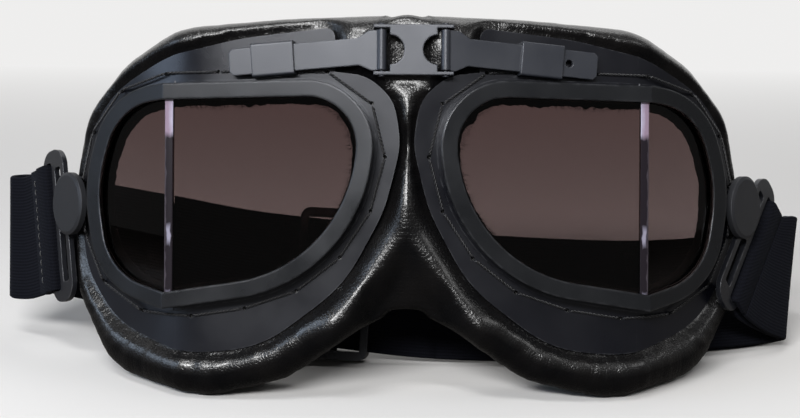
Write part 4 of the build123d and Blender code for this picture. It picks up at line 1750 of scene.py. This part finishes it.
    def bend(self, piece: bpy.types.Object) -> tuple:
        """Where a run's bend starts and ends, along a line square to both its cut ends.

        Args:
            piece: The run.

        Returns:
            The start and the end in metres.
        """
        size = len(self.section())
        places = np.array([vertex.co for vertex in piece.data.vertices])
        first, last = places[:size], places[-size:]
        ups = [rows[self.section_rows - 1] - rows[0] for rows in (first, last)]
        ups = [up / np.linalg.norm(up) for up in ups]
        run = last.mean(axis=0) - first.mean(axis=0)
        line = np.cross(*ups)
        if np.linalg.norm(line) < 0.1:
            middle = (ups[0] + ups[1]) / np.linalg.norm(ups[0] + ups[1])
            line = run - middle * (run @ middle)
        line *= math.copysign(1, line @ run) / np.linalg.norm(line)
        start, end = float((first @ line).max()), float((last @ line).min())
        LOG.info("bend of %s: %.1f mm", piece.name, (end - start) / MM)
        return tuple(line * start), tuple(line * end)

    def from_node(self, node: str, name: str, body: str) -> None:
        """Copies a CAD strap piece, softens it and gives it the elastic's weave.

        Args:
            node: The CAD node it stands for.
            name: Name of the new piece.
            body: The body it rides on.
        """
        piece = copied(node, name)
        edit = bmesh.new()
        edit.from_mesh(piece.data)
        bmesh.ops.remove_doubles(edit, verts=edit.verts[:], dist=1e-6)
        edit.to_mesh(piece.data)
        edit.free()
        soften = piece.modifiers.new("soften", "BEVEL")
        soften.width = self.rounding * MM
        soften.segments = 3
        soften.limit_method = "ANGLE"
        low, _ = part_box(node)
        smoothed(settled(piece))
        laid_out(piece, [((v.co - low).xy.length, v.co.z - low.z) for v in piece.data.vertices])
        dressed(piece, self.finishes.elastic)
        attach(piece, body)
        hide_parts(node)
        LOG.info("strap %s", name)

    def wrap(self, side: Side) -> None:
        """Replaces the strap's turn round one loop, sewn shut on the left.

        Args:
            side: The side of the loop.
        """
        self.from_node(f"strap_wrap_{side.tag}", f"strap_fold_{side.tag}", f"{side.tag}_loop")
        if side is Side.LEFT:
            self.fold_stitches()

    def fold_stitches(self) -> None:
        """Sews a row of short stitches through the left fold."""
        turn = math.radians(self.loop_tilt)
        across, behind = self.temple
        along, inward, upward = Vector((across, behind, 0)), Vector((-behind, across, 0)), Vector((0, 0, 1))
        origin = Vector(self.post)
        away = along * math.cos(turn) - upward * math.sin(turn)
        rise = along * math.sin(turn) + upward * math.cos(turn)
        verts, faces = [], []
        count = int((self.width - self.stitch_margin) / self.stitch_gap)
        for row in self.stitch_rows:
            for index in range(count):
                middle = -self.loop_drop + (index - (count - 1) / 2) * self.stitch_gap
                self.one_stitch(verts, faces, lambda high, up: origin + away * row + rise * (middle + up)
                                - inward * (self.fold_top + high))
        placed = [stood(-v.x, v.y, v.z) for v in verts]
        piece = new_object("strap_fold_stitches", placed, faces)
        dressed(piece, self.finishes.thread)
        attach(piece, "left_loop")

    def one_stitch(self, verts: list, faces: list, place: object) -> None:
        """Adds one stitch as a low arch of thread.

        Args:
            verts: Corners that the stitch is added to.
            faces: Faces that the stitch is added to.
            place: Gives a place from a height over the fold and a run along the row.
        """
        sides = steps = self.stitch_steps
        faces += tube_faces(len(verts), steps, sides)
        for step in range(steps + 1):
            share = step / steps
            run = (share - 0.5) * self.stitch_gap * self.stitch_share
            arch = self.stitch_arch * math.sin(math.pi * share) - self.stitch_sunk
            centre = place(arch, run)
            out = (place(1, 0) - place(0, 0)).normalized()
            side = (place(0, 1) - place(0, 0)).normalized().cross(out)
            for corner in range(sides):
                angle = corner / sides * 2 * math.pi
                verts.append(centre + out * math.cos(angle) * self.stitch_radius
                             + side * math.sin(angle) * self.stitch_radius)


@dataclass
class Studio:
    """Pale floor and backdrop, soft lamps and the camera."""

    distance: float = 400
    lens: float = 67.9
    middle_shift: float = -6.5 / 800
    roll: float = 0.35
    half_width: float = 3
    floor_front: float = -2.0
    floor_back: float = 1.2
    wall_bend: float = 0.6
    wall_height: float = 3.5
    bend_steps: int = 12
    air: tuple = ((1, 0.99, 0.98, 1), 0.15)
    floor_colour: tuple = (0.76, 0.75, 0.74)
    floor_bounce: tuple = (0.185, 0.175, 0.165)
    lamps: tuple = (
        ("front", (-0.25, -1.04, 0.66), (0, 0, 0.05), (0.75, 0.15), 16.0),
        ("key", (-0.16, -0.42, 0.74), (0, -0.02, 0.05), (0.34, 0.10), 2.0),
        ("fill", (0.75, -0.35, 0.55), (0.03, 0, 0.05), (0.35, 0.2), 0.6),
        ("low", (-0.90, -0.30, 0.33), (-0.05, 0, 0.06), (0.5, 0.45), 2.3, (0.66, 0.80, 1.0)),
        ("top", (0.05, 0.32, 0.85), (0, 0, 0.05), (0.6, 0.5), 1.3),
    )
    wall_colour: tuple = (0.86, 0.855, 0.85)

    def ground(self) -> None:
        """Lays the floor and the backdrop."""
        lines = [(self.floor_front, 0)]
        for step in range(self.bend_steps + 1):
            angle = step / self.bend_steps * math.pi / 2
            lines.append((self.floor_back + self.wall_bend * math.sin(angle),
                          self.wall_bend * (1 - math.cos(angle))))
        lines.append((self.floor_back + self.wall_bend, self.wall_height))
        verts = [(side * self.half_width, depth, rise) for depth, rise in lines for side in (-1, 1)]
        faces = [(k, k + 1, k + 3, k + 2) for k in range(0, len(verts) - 2, 2)]
        floor = new_object("studio_sweep", verts, faces)
        floor.data.materials.append(self.sweep())

    def seen(self, s: "Shading") -> bpy.types.NodeSocket:
        """Whether a ray comes from the camera, a gloss or a pane.

        Args:
            s: The node tree to add to.

        Returns:
            1 for those rays and 0 for others.
        """
        path = s.add("ShaderNodeLightPath")
        direct = s.reckon("MAXIMUM", path.outputs["Is Camera Ray"], path.outputs["Is Glossy Ray"])
        return s.reckon("MAXIMUM", direct, path.outputs["Is Transmission Ray"])

    def looked_at(self, s: "Shading") -> bpy.types.NodeSocket:
        """Whether a ray comes from the camera, straight or through a pane.

        Args:
            s: The node tree to add to.

        Returns:
            1 for those rays and 0 for others.
        """
        path = s.add("ShaderNodeLightPath")
        return s.reckon("MAXIMUM", path.outputs["Is Camera Ray"], path.outputs["Is Transmission Ray"])

    def sweep(self) -> bpy.types.Material:
        """Matte paper that fades to an even pale tone behind the goggles.

        Returns:
            The material.
        """
        s = Shading("studio_paper")
        depth = s.axes(s.place())[1]
        pale = s.reckon("MULTIPLY", self.looked_at(s), s.ramp(depth, -0.9, -0.1, (0.35, 1)))
        s.fill({"Base Color": s.mix(pale, self.floor_bounce, self.floor_colour),
                "Roughness": 0.95, "Specular IOR Level": 0.1})
        glow = s.add("ShaderNodeEmission")
        glow.inputs["Color"].default_value = (*self.wall_colour, 1)
        share = s.reckon("MULTIPLY", s.ramp(depth, 0.15, 0.75), self.seen(s))
        blend = s.add("ShaderNodeMixShader")
        s.join(share, blend.inputs[0])
        s.join(s.shader.outputs[0], blend.inputs[1])
        s.join(glow.outputs[0], blend.inputs[2])
        s.join(blend.outputs[0], s.tree.nodes["Material Output"].inputs["Surface"])
        return s.material

    def lamp(self, name: str, place: tuple, target: tuple, size: tuple, power: float,
             colour: tuple = (1, 1, 1)) -> None:
        """Hangs one soft lamp.

        Args:
            name: Name of the lamp.
            place: Where it hangs, in metres.
            target: What it points at.
            size: Width and height of its face.
            power: Its power in watts.
            colour: Its colour.
        """
        data = bpy.data.lights.new(name, "AREA")
        data.shape = "RECTANGLE"
        data.size, data.size_y = size
        data.energy = power
        data.color = colour
        lamp = bpy.data.objects.new(name, data)
        lamp.location = place
        lamp.rotation_euler = (Vector(target) - Vector(place)).to_track_quat("-Z", "Y").to_euler()
        bpy.context.scene.collection.objects.link(lamp)

    def camera(self) -> None:
        """Sets the camera at the photograph's viewing angle."""
        data = bpy.data.cameras.new("view")
        data.lens = self.lens
        data.sensor_width = 36
        data.shift_x = self.middle_shift
        data.clip_start = 0.01
        camera = bpy.data.objects.new("view", data)
        camera.location = stood(0, -self.distance, 0)
        rolled = Matrix.Rotation(math.radians(self.roll), 3, "Z")
        camera.rotation_euler = (Euler((math.radians(90) - LEAN, 0, 0)).to_matrix() @ rolled).to_euler()
        bpy.context.scene.collection.objects.link(camera)
        bpy.context.scene.camera = camera

    def build(self) -> None:
        """Builds the studio."""
        self.ground()
        for lamp in self.lamps:
            self.lamp(*lamp)
        world = bpy.data.worlds.new("room")
        world.use_nodes = True
        for key, value in zip(("Color", "Strength"), self.air):
            world.node_tree.nodes["Background"].inputs[key].default_value = value
        bpy.context.scene.world = world
        bpy.context.scene.view_settings.view_transform = "Standard"
        self.camera()
        LOG.info("studio built")


def main() -> None:
    """Builds the goggles piece by piece."""
    studio = Studio()
    studio.build()
    finishes = Finishes()
    NoseBridge(finishes).build()
    for side in Side:
        LensCup(side, finishes).build()
    LeatherMask(finishes).build()
    ElasticStrap(finishes).build()


if __name__ == "__main__":
    main()
